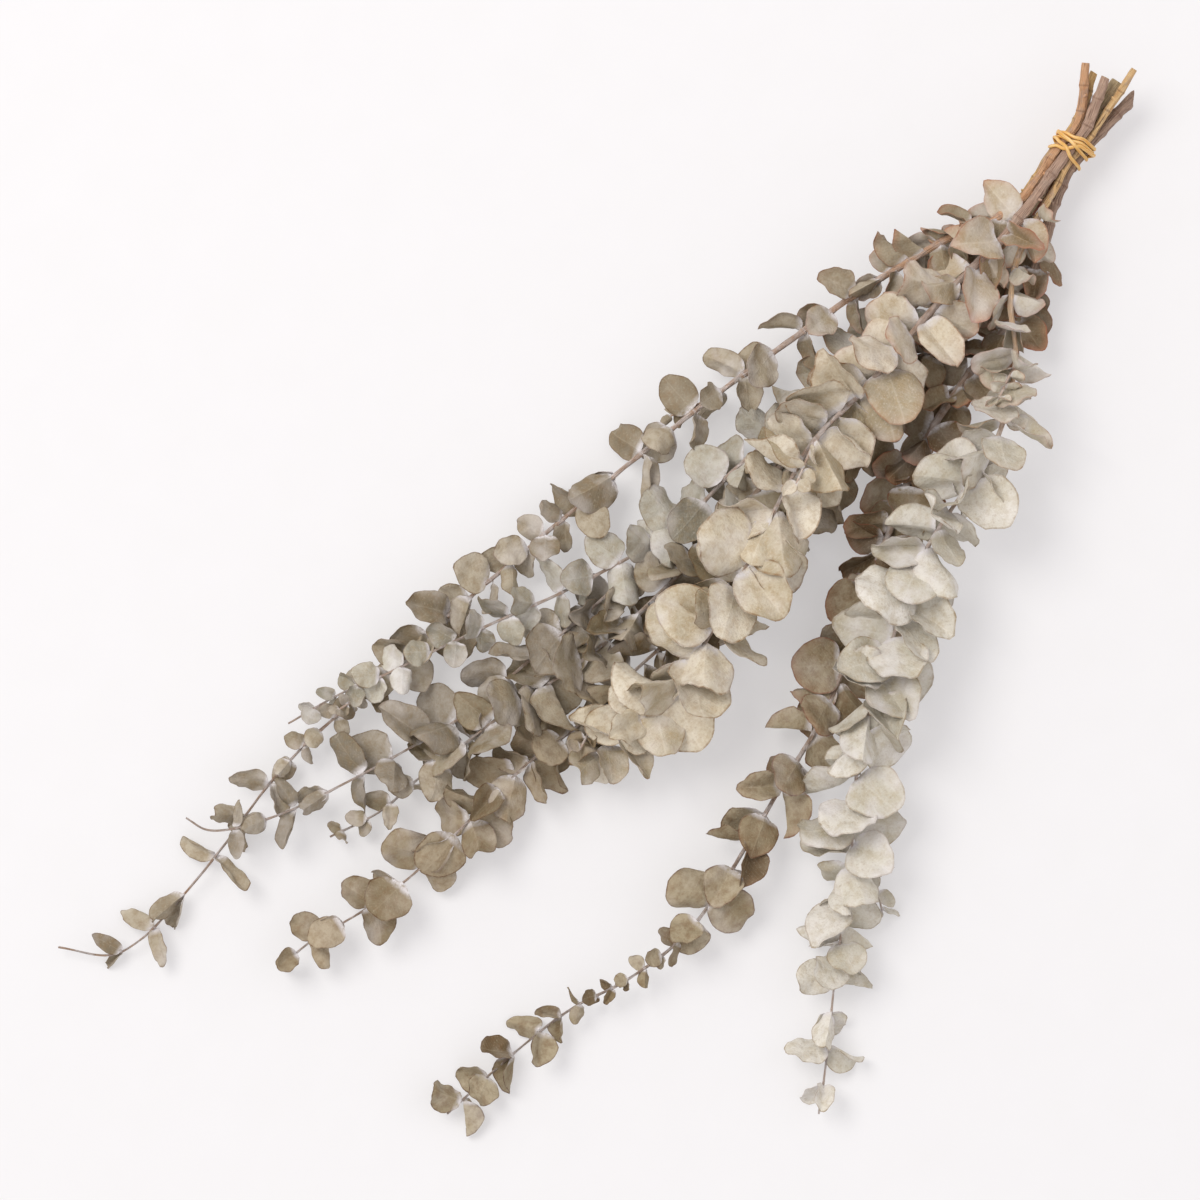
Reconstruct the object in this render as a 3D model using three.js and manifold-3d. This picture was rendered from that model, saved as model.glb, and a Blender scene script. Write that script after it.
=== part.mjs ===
// A bunch of eight dried eucalyptus branches, tied near their cut ends with a wound rubber band and laid flat.
// Millimetres, +Z up. The bunch lies on the plane Z = 0, and +X runs along it to the cut ends.
import * as THREE from "three";
import { mergeVertices } from "three/addons/utils/BufferGeometryUtils.js";
import Module from "manifold-3d";

const wasm = await Module();
wasm.setup();

// Driving sizes
const MIDDLE = { x: 16.84, y: -56.99 }; // middle of the bunch's footprint, in the frame of the routes
const TOUCH = 0.3; // gap between pieces that touch
const BAND_CENTRE = { x: 306, y: -33, z: 24 };
const BAND_RADIUS = 0.9;
const BAND_SIDES = 4;
const BAND_POINTS = 20;
const BAND_REACH = 10; // the stems run side by side this far each way from the middle of the band
const TIP_RADIUS = 0.65;
const BARE_SIDES = 6;
const BARE_STEP = 11; // ring spacing along the bare end of a stem
const BARE_LENGTH = 78;
const LEAFY_SIDES = 4;
const LEAFY_STEP = 26; // widest ring spacing along the leafy part
const LEAFY_OVERLAP = 3; // how far the leafy part starts inside the bare part
const NODE_HALF = 1; // the ring of scar tissue that a pair of leaves grows from reaches this far each way
const CURVE_STEPS = 12; // samples between two points of a route
const SHOOT_RADIUS = 0.8;
const BUD_SIDES = 5;
const BUD_SIZE = 4.8;
const BUD_SPREAD = 1.6; // how much longer than that a bud can be
const FULLNESS = 1.08; // a stem with four sides is this much wider than a round one of the same weight

// Each branch: its cut end, its points after the band, its radius in the band, how obliquely it was cut, and
// rows of leaves: [distance from the cut end, leaf length, gap to the next pair, width over length].
const BRANCHES = [
  {
    name: "branch_top",
    colour: "#b5ab8c",
    seed: 5,
    radius: 2.6,
    end: [341, -25, 35],
    slant: 0.1,
    route: [
      [280, -34, 33], [249, -34, 37], [207, -29, 43], [177, -27, 46], [147, -26, 48], [108, -22, 50],
      [76, -27, 50], [40, -34, 50], [1, -41, 46], [-40, -42, 38], [-65, -34, 30], [-91, -35, 22],
    ],
    phase: 20,
    open: 6,
    leaves: [
      [84, 25, 13, 1.0], [130, 28, 14, 1.05], [200, 31, 16, 1.1], [270, 32, 17, 1.1], [360, 33, 17, 1.05],
      [395, 28, 14, 1.05], [425, 21, 12, 1.0], [445, 15, 10, 0.9],
    ],
    shoots: [[235, 70, 26, 11], [404, 250, 34, 13]],
  },
  {
    name: "branch_right_pale",
    colour: "#bab9aa",
    seed: 7,
    radius: 1.8,
    end: [353, -34, 33],
    slant: 0,
    route: [
      [279, -40, 29], [260, -42, 31], [243, -46, 33], [225, -56, 35], [203, -76, 38], [168, -92, 42],
      [142, -95, 44], [100, -99, 43], [46, -117, 40], [1, -136, 34], [-36, -161, 27], [-67, -180, 21],
      [-94, -196, 16], [-127, -217, 11], [-151, -231, 8],
    ],
    phase: 75,
    open: 2,
    leaves: [
      [88, 17, 11, 1.0], [150, 19, 12, 1.05], [185, 24, 14, 1.1], [230, 28, 16, 1.1], [330, 30, 16, 1.1],
      [400, 28, 17, 1.1], [440, 24, 17, 1.0], [520, 20, 15, 0.9], [548, 16, 12, 0.85],
    ],
    shoots: [[392, 290, 62, 13], [165, 120, 22, 9]],
  },
  {
    name: "branch_left_long",
    colour: "#97957f",
    seed: 1,
    radius: 2.3,
    end: [341, -13, 30],
    slant: 0,
    route: [
      [279, -30, 29], [256, -27, 30], [231, -13, 30], [211, -5, 28], [187, 4, 27], [135, 20, 24],
      [76, 36, 21], [9, 51, 19], [-69, 67, 17], [-119, 75, 16], [-156, 83, 15], [-191, 86, 14],
      [-229, 85, 11], [-264, 86, 9], [-291, 89, 8], [-306, 96, 7], [-319, 119, 7],
    ],
    phase: 60,
    open: -4,
    leaves: [
      [92, 17, 12, 0.9], [150, 19, 13, 0.85], [205, 22, 14, 0.9], [260, 19, 13, 0.95], [322, 26, 14, 1.0],
      [352, 16, 10, 0.85], [398, 17, 10, 0.95], [428, 24, 12, 1.05], [462, 18, 11, 1.0], [500, 11, 8, 1.0],
      [522, 10, 9, 1.0], [545, 15, 14, 0.9], [565, 24, 20, 0.62], [630, 22, 20, 0.6], [668, 15, 16, 0.5],
    ],
    shoots: [[262, 250, 20, 9], [486, 100, 18, 7]],
  },
  {
    name: "branch_left_budded",
    colour: "#a3a79c",
    seed: 2,
    radius: 2.2,
    end: [341, -19, 24],
    slant: 0.2,
    route: [
      [279, -29, 20], [258, -30, 18], [227, -26, 17], [197, -21, 18], [166, -14, 20], [133, -9, 22],
      [100, -5, 24], [75, 0, 24], [36, 5, 22], [-19, 27, 22], [-57, 47, 24], [-95, 66, 27],
      [-113, 75, 26], [-131, 85, 22], [-160, 97, 16],
    ],
    phase: 35,
    open: 4,
    leaves: [
      [96, 20, 14, 1.0], [170, 21, 14, 1.0], [240, 22, 13, 1.0], [300, 22, 14, 1.05], [350, 20, 13, 1.0],
      [385, 18, 13, 0.95], [430, 15, 12, 1.0], [485, 13, 11, 0.9], [520, 10, 9, 0.9],
    ],
    shoots: [],
    buds: [[150, 95, 9, 8], [172, 60, 8, 7], [196, 110, 12, 12]],
  },
  {
    name: "branch_right_dark",
    colour: "#8a8266",
    seed: 8,
    radius: 3.0,
    end: [346, -43, 20],
    slant: 1.1,
    route: [
      [279, -43, 21], [257, -53, 18], [226, -62, 15], [176, -63, 13], [147, -66, 13], [110, -76, 14],
      [60, -94, 15], [11, -109, 18], [-48, -117, 20], [-89, -122, 22], [-121, -123, 22], [-157, -114, 17],
      [-186, -101, 14], [-223, -92, 11], [-265, -85, 9],
    ],
    phase: 10,
    open: -6,
    leaves: [
      [94, 20, 14, 1.0], [170, 22, 14, 1.0], [300, 25, 15, 1.05], [400, 24, 14, 1.0], [428, 22, 12, 0.95],
      [452, 25, 13, 1.05], [478, 17, 11, 0.95], [494, 10, 8, 0.9], [530, 8, 7, 0.9], [548, 12, 9, 0.85],
      [572, 20, 14, 0.95], [625, 17, 12, 0.95], [640, 13, 9, 0.9],
    ],
    shoots: [],
  },
  {
    name: "branch_inner_right",
    colour: "#968f73",
    seed: 6,
    radius: 1.8,
    end: [332, -36, 11],
    slant: 0.3,
    route: [
      [279, -37, 17], [250, -39, 14], [202, -42, 11], [149, -42, 10], [110, -41, 11], [71, -39, 13],
      [25, -34, 16], [-14, -26, 17], [-49, -20, 18], [-77, -16, 18], [-102, -9, 19], [-130, -5, 20],
      [-181, 2, 20], [-212, 11, 19], [-237, 21, 16], [-254, 25, 13],
    ],
    phase: 0,
    open: -8,
    leaves: [
      [110, 18, 19, 1.0], [230, 22, 18, 1.0], [330, 25, 17, 1.05], [420, 23, 16, 1.0], [470, 24, 16, 0.95],
      [500, 25, 16, 1.0], [540, 22, 14, 0.95], [570, 18, 12, 0.85], [595, 13, 9, 0.8],
    ],
    shoots: [[392, 60, 28, 10]],
  },
  {
    name: "branch_inner_middle",
    colour: "#a19c83",
    seed: 4,
    radius: 3.2,
    end: [344, -31, 26],
    slant: 0,
    route: [
      [280, -34, 24], [235, -36, 26], [182, -27, 26], [133, -20, 25], [80, -16, 25], [36, -12, 24],
      [-1, -8, 22], [-34, -2, 20], [-58, 5, 20], [-84, 14, 21], [-107, 20, 21], [-141, 29, 18],
      [-166, 34, 15], [-192, 46, 10],
    ],
    phase: 50,
    open: -2,
    leaves: [
      [104, 18, 18, 1.0], [200, 22, 17, 1.05], [300, 24, 15, 1.05], [380, 26, 15, 1.1], [450, 25, 14, 1.05],
      [490, 20, 13, 0.95], [520, 12, 11, 0.9], [548, 8, 9, 0.85],
    ],
    shoots: [[452, 270, 30, 9]],
  },
  {
    name: "branch_inner_left",
    colour: "#999982",
    seed: 3,
    radius: 1.9,
    end: [335, -22, 14],
    slant: 0.9,
    route: [
      [279, -32, 16], [262, -34, 13], [232, -35, 12], [188, -28, 11], [147, -22, 12], [105, -16, 13],
      [66, -12, 14], [18, 5, 16], [-30, 15, 18], [-62, 22, 18], [-104, 31, 18], [-135, 43, 18],
      [-165, 56, 18], [-192, 69, 20], [-215, 84, 24], [-226, 96, 23], [-228, 108, 20],
    ],
    phase: 85,
    open: -4,
    leaves: [
      [108, 17, 20, 1.0], [220, 21, 18, 1.0], [300, 22, 16, 1.05], [380, 25, 15, 1.1], [450, 26, 15, 1.1],
      [490, 24, 15, 0.9], [520, 20, 14, 0.62], [560, 18, 14, 0.6], [588, 10, 9, 0.5],
    ],
    shoots: [],
  },
];
const MIDDLE_STEM = "branch_inner_middle";
// The other stems lie round the middle one, from the top one down the left side and back up the right.
const ROUND_THE_MIDDLE = [
  "branch_top", "branch_left_long", "branch_left_budded", "branch_inner_left", "branch_inner_right",
  "branch_right_dark", "branch_right_pale",
];

// Turns of the rubber band: [place along the stems from the band's middle, how far the left side leans on]
const BAND_TURNS = [[3, -2], [0.7, -2.2], [-2.8, -5.2], [-5.2, 2.5], [-0.8, 0.9]];

// Leaves
const BLADE_THICK = 0.6;
const BLADE_ROOM = 0.7; // extra thickness a leaf has to itself beside another branch
const OWN_ROOM = 0.3; // and beside its own branch
const PRESSED = 0.4; // the share of a leaf's length that may be pressed flat on the surface
const LEFT_OUT_LEAF = 11.5; // pairs of smaller leaves are too fine for a solid
const LARGE_LEAF = 25; // leaves from this length have seven points round the rim, others five
const LARGE_RIM = [126, 82, 40, 0, -40, -82, -126]; // degrees from the tip
const SMALL_RIM = [116, 54, 0, -54, -116];
const LEAST_CROSSING = 1e-4; // mm3, below which two solids are clear of each other
const FINEST = 0.01; // edges shorter than this are closed up

// How leaves grow and dry. Angles are in degrees, and a spread is the whole range of a random draw.
const GROWTH = {
  quarterTurn: 94, // from one pair of leaves to the next
  turnSpread: 24,
  gap: 1.08, // the least gap between pairs, over the one in a branch's rows
  gapSpread: 0.3,
  opening: 72, // between a leaf and the tip of its stem
  pressedOpening: 26, // how much less that is for a leaf straight above or below its stem
  openingSpread: 34,
  rise: 0.6, // how much of its rise or fall a leaf keeps in the pressed bunch
  facing: 0.3, // the least that a blade has turned to lie flat
  facingSpread: 0.6,
  rollSpread: 50,
  size: 0.88,
  sizeSpread: 0.24,
  slimness: 0.92,
  slimnessSpread: 0.16,
  curledShare: 0.16, // the share of leaves that have curled more than the others
  curledMore: 1.8,
  cup: -0.45, // the least curl across a blade, and the spread, in radians
  cupSpread: 1.25,
  bend: -0.65, // and along it
  bendSpread: 1.1,
  wave: 0.02, // height of the rim's waves over the leaf's length
  waveSpread: 0.05,
};
const WIDEST = 0.47; // share of a leaf's length at which it is widest
const OVATE = 0.14; // how much wider the base half is than the tip half

// A leaf takes the first of these places that is clear of the other branches and of its own branch's leaves:
// turned round the stem and about its own axis, opened more or less from the stem, and smaller.
const TURNS = [0, 20, -20, 40, -40]; // degrees
const OPENINGS = [0, -15, 14, -30, 28];
const ROLLS = [0, 35, -35];
const SCALES = [1, 0.85, 0.7];
const LEAF_PLACES = [];
for (const scale of SCALES)
  for (const roll of ROLLS)
    for (const turn of TURNS)
      for (const opening of OPENINGS) LEAF_PLACES.push({ turn, opening, roll, scale });

// A repeatable stream of numbers from 0 to 1.
function draws(seed) {
  let state = (seed * 2654435761) >>> 0;
  return () => {
    state = (state + 0x6d2b79f5) >>> 0;
    let t = state;
    t = Math.imul(t ^ (t >>> 15), t | 1);
    t ^= t + Math.imul(t ^ (t >>> 7), t | 61);
    return ((t ^ (t >>> 14)) >>> 0) / 4294967296;
  };
}

const radians = THREE.MathUtils.degToRad;
const UP = new THREE.Vector3(0, 0, 1);

function solid(positions, triangles) {
  const geometry = new THREE.BufferGeometry();
  const flat = positions.flatMap((p) => p.toArray());
  geometry.setAttribute("position", new THREE.Float32BufferAttribute(flat, 3));
  geometry.setIndex(triangles);
  const merged = mergeVertices(geometry, 1e-4);
  return new wasm.Manifold(
    new wasm.Mesh({
      numProp: 3,
      vertProperties: merged.attributes.position.array,
      triVerts: new Uint32Array(merged.index.array),
    }),
  );
}

// A closed surface through rings of points, each ring with as many points as the next, capped at both ends.
function loft(rings) {
  const sides = rings[0].length;
  const triangles = [];
  for (let i = 0; i + 1 < rings.length; i++)
    for (let k = 0; k < sides; k++) {
      const a = i * sides + k;
      const b = i * sides + ((k + 1) % sides);
      triangles.push(a, b, b + sides, a, b + sides, a + sides);
    }
  const last = (rings.length - 1) * sides;
  for (let k = 1; k + 1 < sides; k++) {
    triangles.push(0, k + 1, k);
    triangles.push(last, last + k, last + k + 1);
  }
  return solid(rings.flat(), triangles);
}

// Where each stem runs through the band: one in the middle and the rest round it, each close to the next.
function bandSlots() {
  const byName = new Map(BRANCHES.map((b) => [b.name, b]));
  const middle = byName.get(MIDDLE_STEM).radius;
  const ring = ROUND_THE_MIDDLE.map((name) => byName.get(name));
  const reach = (b) => middle + b.radius + TOUCH;
  const steps = ring.map((b, i) => {
    const next = ring[(i + 1) % ring.length];
    const between = b.radius + next.radius + TOUCH;
    const cosine = (reach(b) ** 2 + reach(next) ** 2 - between ** 2) / (2 * reach(b) * reach(next));
    return Math.acos(cosine);
  });
  const spare = (2 * Math.PI - steps.reduce((a, b) => a + b, 0)) / ring.length;
  const slots = new Map([[MIDDLE_STEM, [BAND_CENTRE.y, BAND_CENTRE.z]]]);
  let angle = Math.PI / 2;
  ring.forEach((b, i) => {
    slots.set(b.name, [
      BAND_CENTRE.y + reach(b) * Math.cos(angle),
      BAND_CENTRE.z + reach(b) * Math.sin(angle),
    ]);
    angle -= steps[i] + spare;
  });
  return slots;
}

// The centre line of a stem, measured along it from its cut end.
function centreLine(points) {
  const curve = new THREE.CatmullRomCurve3(points.map((p) => new THREE.Vector3(...p)));
  const fine = curve.getPoints((points.length - 1) * CURVE_STEPS);
  const run = [0];
  for (let i = 1; i < fine.length; i++) run.push(run[i - 1] + fine[i].distanceTo(fine[i - 1]));
  const total = run[run.length - 1];
  const at = (s) => {
    let i = 1;
    while (i < run.length - 1 && run[i] < s) i++;
    return fine[i - 1].clone().lerp(fine[i], (s - run[i - 1]) / (run[i] - run[i - 1]));
  };
  const along = (s) => {
    const from = THREE.MathUtils.clamp(s - 3, 0, total - 3);
    return at(Math.min(s + 3, total)).sub(at(from)).normalize();
  };
  return { total, at, along };
}

function stemRadius(branch, line, s) {
  const share = THREE.MathUtils.clamp((s - BARE_LENGTH) / (line.total - BARE_LENGTH), 0, 1);
  return TIP_RADIUS + (branch.radius - TIP_RADIUS) * (1 - share) ** 1.5;
}

// Two directions across a stem: level, and upright to both.
function across(along) {
  const level = UP.clone().cross(along).normalize();
  return { level, upright: along.clone().cross(level) };
}

// Points round a stem. The first two stand either side of the given turn, in degrees.
function ring(centre, along, radius, sides, turn = 0, slant = 0) {
  const { level, upright } = across(along);
  return Array.from({ length: sides }, (_, k) => {
    const angle = radians(turn + (180 * (2 * k - 1)) / sides);
    return centre
      .clone()
      .addScaledVector(level, radius * Math.cos(angle))
      .addScaledVector(upright, radius * Math.sin(angle))
      .addScaledVector(along, slant * radius * (1 + Math.cos(angle)));
  });
}

function bareRings(branch, line) {
  const rings = [];
  for (let s = 0; s <= BARE_LENGTH + 0.01; s += BARE_LENGTH / Math.round(BARE_LENGTH / BARE_STEP))
    rings.push(ring(line.at(s), line.along(s), branch.radius, BARE_SIDES, 0, s === 0 ? branch.slant : 0));
  return rings;
}

// Rings along a leafy stem. Two close together carry each pair of leaves, and face it with two opposite sides:
// those two four-sided patches, where the leaves grow, go into the pair.
function leafyRings(line, from, to, pairs, radiusAt) {
  const stations = [{ s: from }];
  pairs.forEach((pair) => {
    stations.push({ s: pair.s - NODE_HALF, pair });
    stations.push({ s: Math.min(pair.s + NODE_HALF, to), pair, closes: true });
  });
  if (to - stations[stations.length - 1].s > 2) stations.push({ s: to });
  const quarter = 360 / LEAFY_SIDES;
  let turn = pairs.length ? pairs[0].turn : 0;
  const rings = [];
  stations.forEach((station, i) => {
    const previous = stations[i - 1];
    if (previous) {
      const parts = Math.ceil((station.s - previous.s) / LEAFY_STEP);
      for (let k = 1; k < parts; k++) {
        const s = previous.s + ((station.s - previous.s) * k) / parts;
        rings.push(ring(line.at(s), line.along(s), radiusAt(s), LEAFY_SIDES, turn));
      }
    }
    let patch = 0;
    if (station.pair) {
      patch = Math.round((station.pair.turn - turn) / quarter);
      turn = station.pair.turn - patch * quarter;
    }
    rings.push(ring(line.at(station.s), line.along(station.s), radiusAt(station.s), LEAFY_SIDES, turn));
    if (!station.closes) return;
    const [lower, upper] = rings.slice(-2);
    station.pair.patches = [0, LEAFY_SIDES / 2].map((half) => {
      const a = (((patch + half) % LEAFY_SIDES) + LEAFY_SIDES) % LEAFY_SIDES;
      const b = (a + 1) % LEAFY_SIDES;
      return [lower[a], lower[b], upper[b], upper[a]];
    });
  });
  return rings;
}

function rowAt(rows, s) {
  let i = 1;
  while (i < rows.length - 1 && rows[i][0] < s) i++;
  const share = THREE.MathUtils.clamp((s - rows[i - 1][0]) / (rows[i][0] - rows[i - 1][0]), 0, 1);
  return rows[i].map((value, k) => rows[i - 1][k] + (value - rows[i - 1][k]) * share);
}

// Pairs of leaves along a stem, each pair turned about a quarter from the last.
function leafPairs(branch, total) {
  const rows = branch.leaves;
  const pairs = [];
  let s = rows[0][0];
  for (let k = 0; s <= Math.min(rows[rows.length - 1][0], total - 2); k++) {
    const draw = draws(branch.seed * 997 + k);
    const [, length, gap, slim] = rowAt(rows, s);
    const turn = branch.phase + GROWTH.quarterTurn * k + GROWTH.turnSpread * (draw() - 0.5);
    pairs.push({ k, s, length, slim, turn, shoot: 0 });
    s += gap * (GROWTH.gap + GROWTH.gapSpread * draw());
  }
  return pairs;
}

// One leaf: where it grows, the directions of its blade, its size and how it has dried.
function leafOf(branch, line, radius, pair, side, place) {
  const draw = draws(branch.seed * 8192 + pair.shoot * 1024 + pair.k * 2 + side);
  const stem = line.along(pair.s);
  const { level, upright } = across(stem);
  const outward = (turn) =>
    level.clone().multiplyScalar(Math.cos(radians(turn))).addScaledVector(upright, Math.sin(radians(turn)));
  const grows = outward(pair.turn + side * 180);
  const base = line.at(pair.s).addScaledVector(grows, radius * Math.cos(Math.PI / LEAFY_SIDES));
  const out = outward(pair.turn + side * 180 + GROWTH.turnSpread * (draw() - 0.5) + place.turn);
  const opening = radians(
    GROWTH.opening + branch.open + place.opening -
      GROWTH.pressedOpening * Math.abs(out.z) + GROWTH.openingSpread * (draw() - 0.5),
  );
  const along = stem.clone().multiplyScalar(Math.cos(opening)).addScaledVector(out, Math.sin(opening));
  const face = stem.clone().multiplyScalar(Math.sin(opening)).addScaledVector(out, -Math.cos(opening));
  along.z *= GROWTH.rise;
  along.normalize();
  const facing = GROWTH.facing + GROWTH.facingSpread * draw();
  const upward = face.z + 0.3 * (draw() - 0.5) < 0 ? -1 : 1;
  face.multiplyScalar(1 - facing).addScaledVector(UP, upward * facing);
  const roll = radians(GROWTH.rollSpread * (draw() - 0.5) + place.roll);
  const length = pair.length * (GROWTH.size + GROWTH.sizeSpread * draw()) * place.scale;
  const width = length * pair.slim * (GROWTH.slimness + GROWTH.slimnessSpread * draw());
  const curled = draw() < GROWTH.curledShare ? GROWTH.curledMore : 1;
  const cup = (GROWTH.cup + GROWTH.cupSpread * draw()) * curled;
  const bend = (GROWTH.bend + GROWTH.bendSpread * draw()) * curled;
  const wave = length * (GROWTH.wave + GROWTH.waveSpread * draw());
  const waves = draw() < 0.5 ? 2 : 3;
  const start = 2 * Math.PI * draw();
  return { base, along, face, roll, length, width, cup, bend, wave, waves, start };
}

// The three directions of a blade, at right angles.
function bladeAxes(leaf) {
  const along = leaf.along.clone().normalize();
  const face = leaf.face.clone().addScaledVector(along, -leaf.face.dot(along)).normalize();
  face.applyAxisAngle(along, leaf.roll);
  return { along, face, side: along.clone().cross(face) };
}

// How far along and how high an arc of unit length has got, at a share of its length and of its whole angle.
function arc(angle, share) {
  if (Math.abs(angle) < 1e-6) return [share, 0];
  return [Math.sin(angle * share) / angle, (1 - Math.cos(angle * share)) / angle];
}

// A point of the blade's middle surface. The angle is 0 at the tip and half a turn at the base.
// The reach is 0 in the middle and 1 at the rim.
function bladePoint(leaf, axes, angle, reach) {
  const cosine = Math.cos(angle);
  const half = leaf.width / 2;
  const x = half * reach * Math.sin(angle) * (1 - OVATE * cosine);
  const y = leaf.length * (WIDEST + reach * cosine * (cosine > 0 ? 1 - WIDEST : WIDEST));
  const [flatX, risenX] = arc(leaf.cup, x / half);
  const [flatY, risenY] = arc(leaf.bend, y / leaf.length);
  const rim = leaf.wave * reach * reach * Math.sin(leaf.waves * angle + leaf.start) * (1 + cosine) * 0.5;
  const rise = half * risenX + rim;
  const tilt = (leaf.bend * y) / leaf.length;
  return leaf.base
    .clone()
    .addScaledVector(axes.side, half * flatX)
    .addScaledVector(axes.along, leaf.length * flatY - rise * Math.sin(tilt))
    .addScaledVector(axes.face, leaf.length * risenY + rise * Math.cos(tilt));
}

// Points round the rim, then the middle of the blade.
function outline(leaf, rim) {
  const axes = bladeAxes(leaf);
  return [...rim.map((angle) => bladePoint(leaf, axes, radians(angle), 1)), bladePoint(leaf, axes, 0, 0)];
}

// A leaf that would pass through the surface below is bent up until only a little of it is pressed flat there.
function restOnSurface(leaf) {
  for (let k = 0; k < 6; k++) {
    const lowest = Math.min(...outline(leaf, LARGE_RIM).map((p) => p.z));
    if (lowest >= -PRESSED * leaf.length) return;
    leaf.along.z -= (0.7 * lowest) / leaf.length;
    leaf.along.normalize();
    leaf.face.normalize().lerp(leaf.face.z < 0 ? UP.clone().negate() : UP, 0.3);
    leaf.roll *= 0.6;
  }
}

// A blade as a closed slab that starts on a patch of its stem. Both faces have the same triangles.
function bladeSolid(leaf, patch, thick) {
  const rim = leaf.length >= LARGE_LEAF ? LARGE_RIM : SMALL_RIM;
  const count = rim.length;
  const points = outline(leaf, rim);
  const pressed = points.map((p) => p.z < BLADE_THICK / 2);
  points.forEach((p) => (p.z = Math.max(p.z, BLADE_THICK / 2)));
  const tip = (count - 1) / 2;
  const faces = [[count - 1, 0, count], [tip - 1, tip, tip + 1], [tip - 1, tip + 1, count]];
  for (let k = 0; k + 1 < count; k++) if (k !== tip && k + 1 !== tip) faces.push([k, k + 1, count]);
  const normals = points.map(() => new THREE.Vector3());
  for (const [a, b, c] of faces) {
    const normal = points[b].clone().sub(points[a]).cross(points[c].clone().sub(points[a]));
    [a, b, c].forEach((i) => normals[i].add(normal));
  }
  normals.forEach((n, i) => (pressed[i] ? n.set(0, 0, Math.sign(n.z) || 1) : n.normalize()));
  const upper = points.map((p, i) => p.clone().addScaledVector(normals[i], thick / 2));
  const lower = points.map((p, i) => p.clone().addScaledVector(normals[i], -thick / 2));
  [...upper, ...lower].forEach((p) => (p.z = Math.max(p.z, 0)));

  // The patch's corners in order: two on the upper face and two on the lower face
  const axes = bladeAxes(leaf);
  const fit = (r) => {
    const [a, b, , d] = [0, 1, 2, 3].map((i) => patch[(i + r) % 4]);
    return b.clone().sub(a).dot(axes.side) + a.clone().sub(d).dot(axes.face);
  };
  const r = [0, 1, 2, 3].reduce((best, i) => (fit(i) > fit(best) ? i : best), 0);
  const n = count + 1;
  const corner = (i) => 2 * n + ((i + r) % 4);
  const [left, right, underRight, underLeft] = [0, 1, 2, 3].map(corner);
  const last = count - 1;
  const triangles = [2 * n, 2 * n + 2, 2 * n + 1, 2 * n, 2 * n + 3, 2 * n + 2];
  for (const [a, b, c] of faces) triangles.push(a, b, c, n + a, n + c, n + b);
  for (let k = 0; k < last; k++) triangles.push(k, n + k, n + k + 1, k, n + k + 1, k + 1);
  triangles.push(left, right, 0, left, 0, last);
  triangles.push(underLeft, n, underRight, underLeft, n + last, n);
  triangles.push(right, underRight, n, right, n, 0);
  triangles.push(last, n + last, underLeft, last, underLeft, left);
  return solid([...upper, ...lower, ...patch], triangles);
}

function boxOf(shape) {
  const { min, max } = shape.boundingBox();
  return new THREE.Box3(new THREE.Vector3(...min), new THREE.Vector3(...max));
}

function shared(a, b) {
  return a.intersect(b).volume();
}

// The centre line of a side shoot or a bud stalk, which leaves the stem at a slant and bends along it.
function shootLine(line, s, turn, length, rise) {
  const stem = line.along(s);
  const { level, upright } = across(stem);
  const out = level.multiplyScalar(Math.cos(radians(turn))).addScaledVector(upright, Math.sin(radians(turn)));
  const direction = stem.clone().multiplyScalar(0.75).addScaledVector(out, 0.65).normalize();
  direction.z = direction.z * 0.7 + rise;
  direction.normalize();
  const points = [0, 0.35, 0.7, 1].map((share) =>
    line.at(s).addScaledVector(direction, length * share).addScaledVector(stem, length * 0.12 * share * share),
  );
  return centreLine(points.map((p) => p.toArray()));
}

// A bud: a pointed cap on a short cup, as two cones base to base.
function bud(base, along, size) {
  const points = ring(base.clone().addScaledVector(along, 0.55 * size), along, 0.42 * size, BUD_SIDES);
  points.push(base.clone(), base.clone().addScaledVector(along, size));
  const triangles = [];
  for (let k = 0; k < BUD_SIDES; k++) {
    const next = (k + 1) % BUD_SIDES;
    triangles.push(BUD_SIDES, next, k, BUD_SIDES + 1, k, next);
  }
  return solid(points, triangles);
}

// The stems. Each is a bare length through the band and a leafy length.
const placed = [];
function put(branch, shape) {
  placed.push({ owner: branch.name, shape, box: boxOf(shape) });
  return shape;
}

function isNear(other, box) {
  return other.box.intersectsBox(box);
}

function putRings(branch, rings) {
  rings.slice(1).forEach((_, i) => put(branch, loft(rings.slice(i, i + 2))));
  return loft(rings);
}

const slots = bandSlots();
const branches = BRANCHES.map((branch) => {
  const [y, z] = slots.get(branch.name);
  const inBand = [BAND_REACH, -BAND_REACH].map((reach) => [BAND_CENTRE.x + reach, y, z]);
  const line = centreLine([branch.end, ...inBand, ...branch.route]);
  const pairs = leafPairs(branch, line.total).filter((pair) => pair.length >= LEFT_OUT_LEAF);
  const radiusAt = (s) => FULLNESS * stemRadius(branch, line, s);
  const bare = putRings(branch, bareRings(branch, line));
  const leafy = putRings(branch, leafyRings(line, BARE_LENGTH - LEAFY_OVERLAP, line.total, pairs, radiusAt));
  return { ...branch, line, pairs, radiusAt, pieces: [bare, leafy] };
});

function clearOfOthers(branch, shape) {
  const box = boxOf(shape);
  const others = placed.filter((other) => other.owner !== branch.name && isNear(other, box));
  return !others.some((other) => shared(shape, other.shape) > LEAST_CROSSING);
}

// Whether a blade meets its stem in the patch alone: the join then loses just the two triangles of each.
function joinsCleanly(stem, blade) {
  return stem.add(blade).numTri() === stem.numTri() + blade.numTri() - 4;
}

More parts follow.
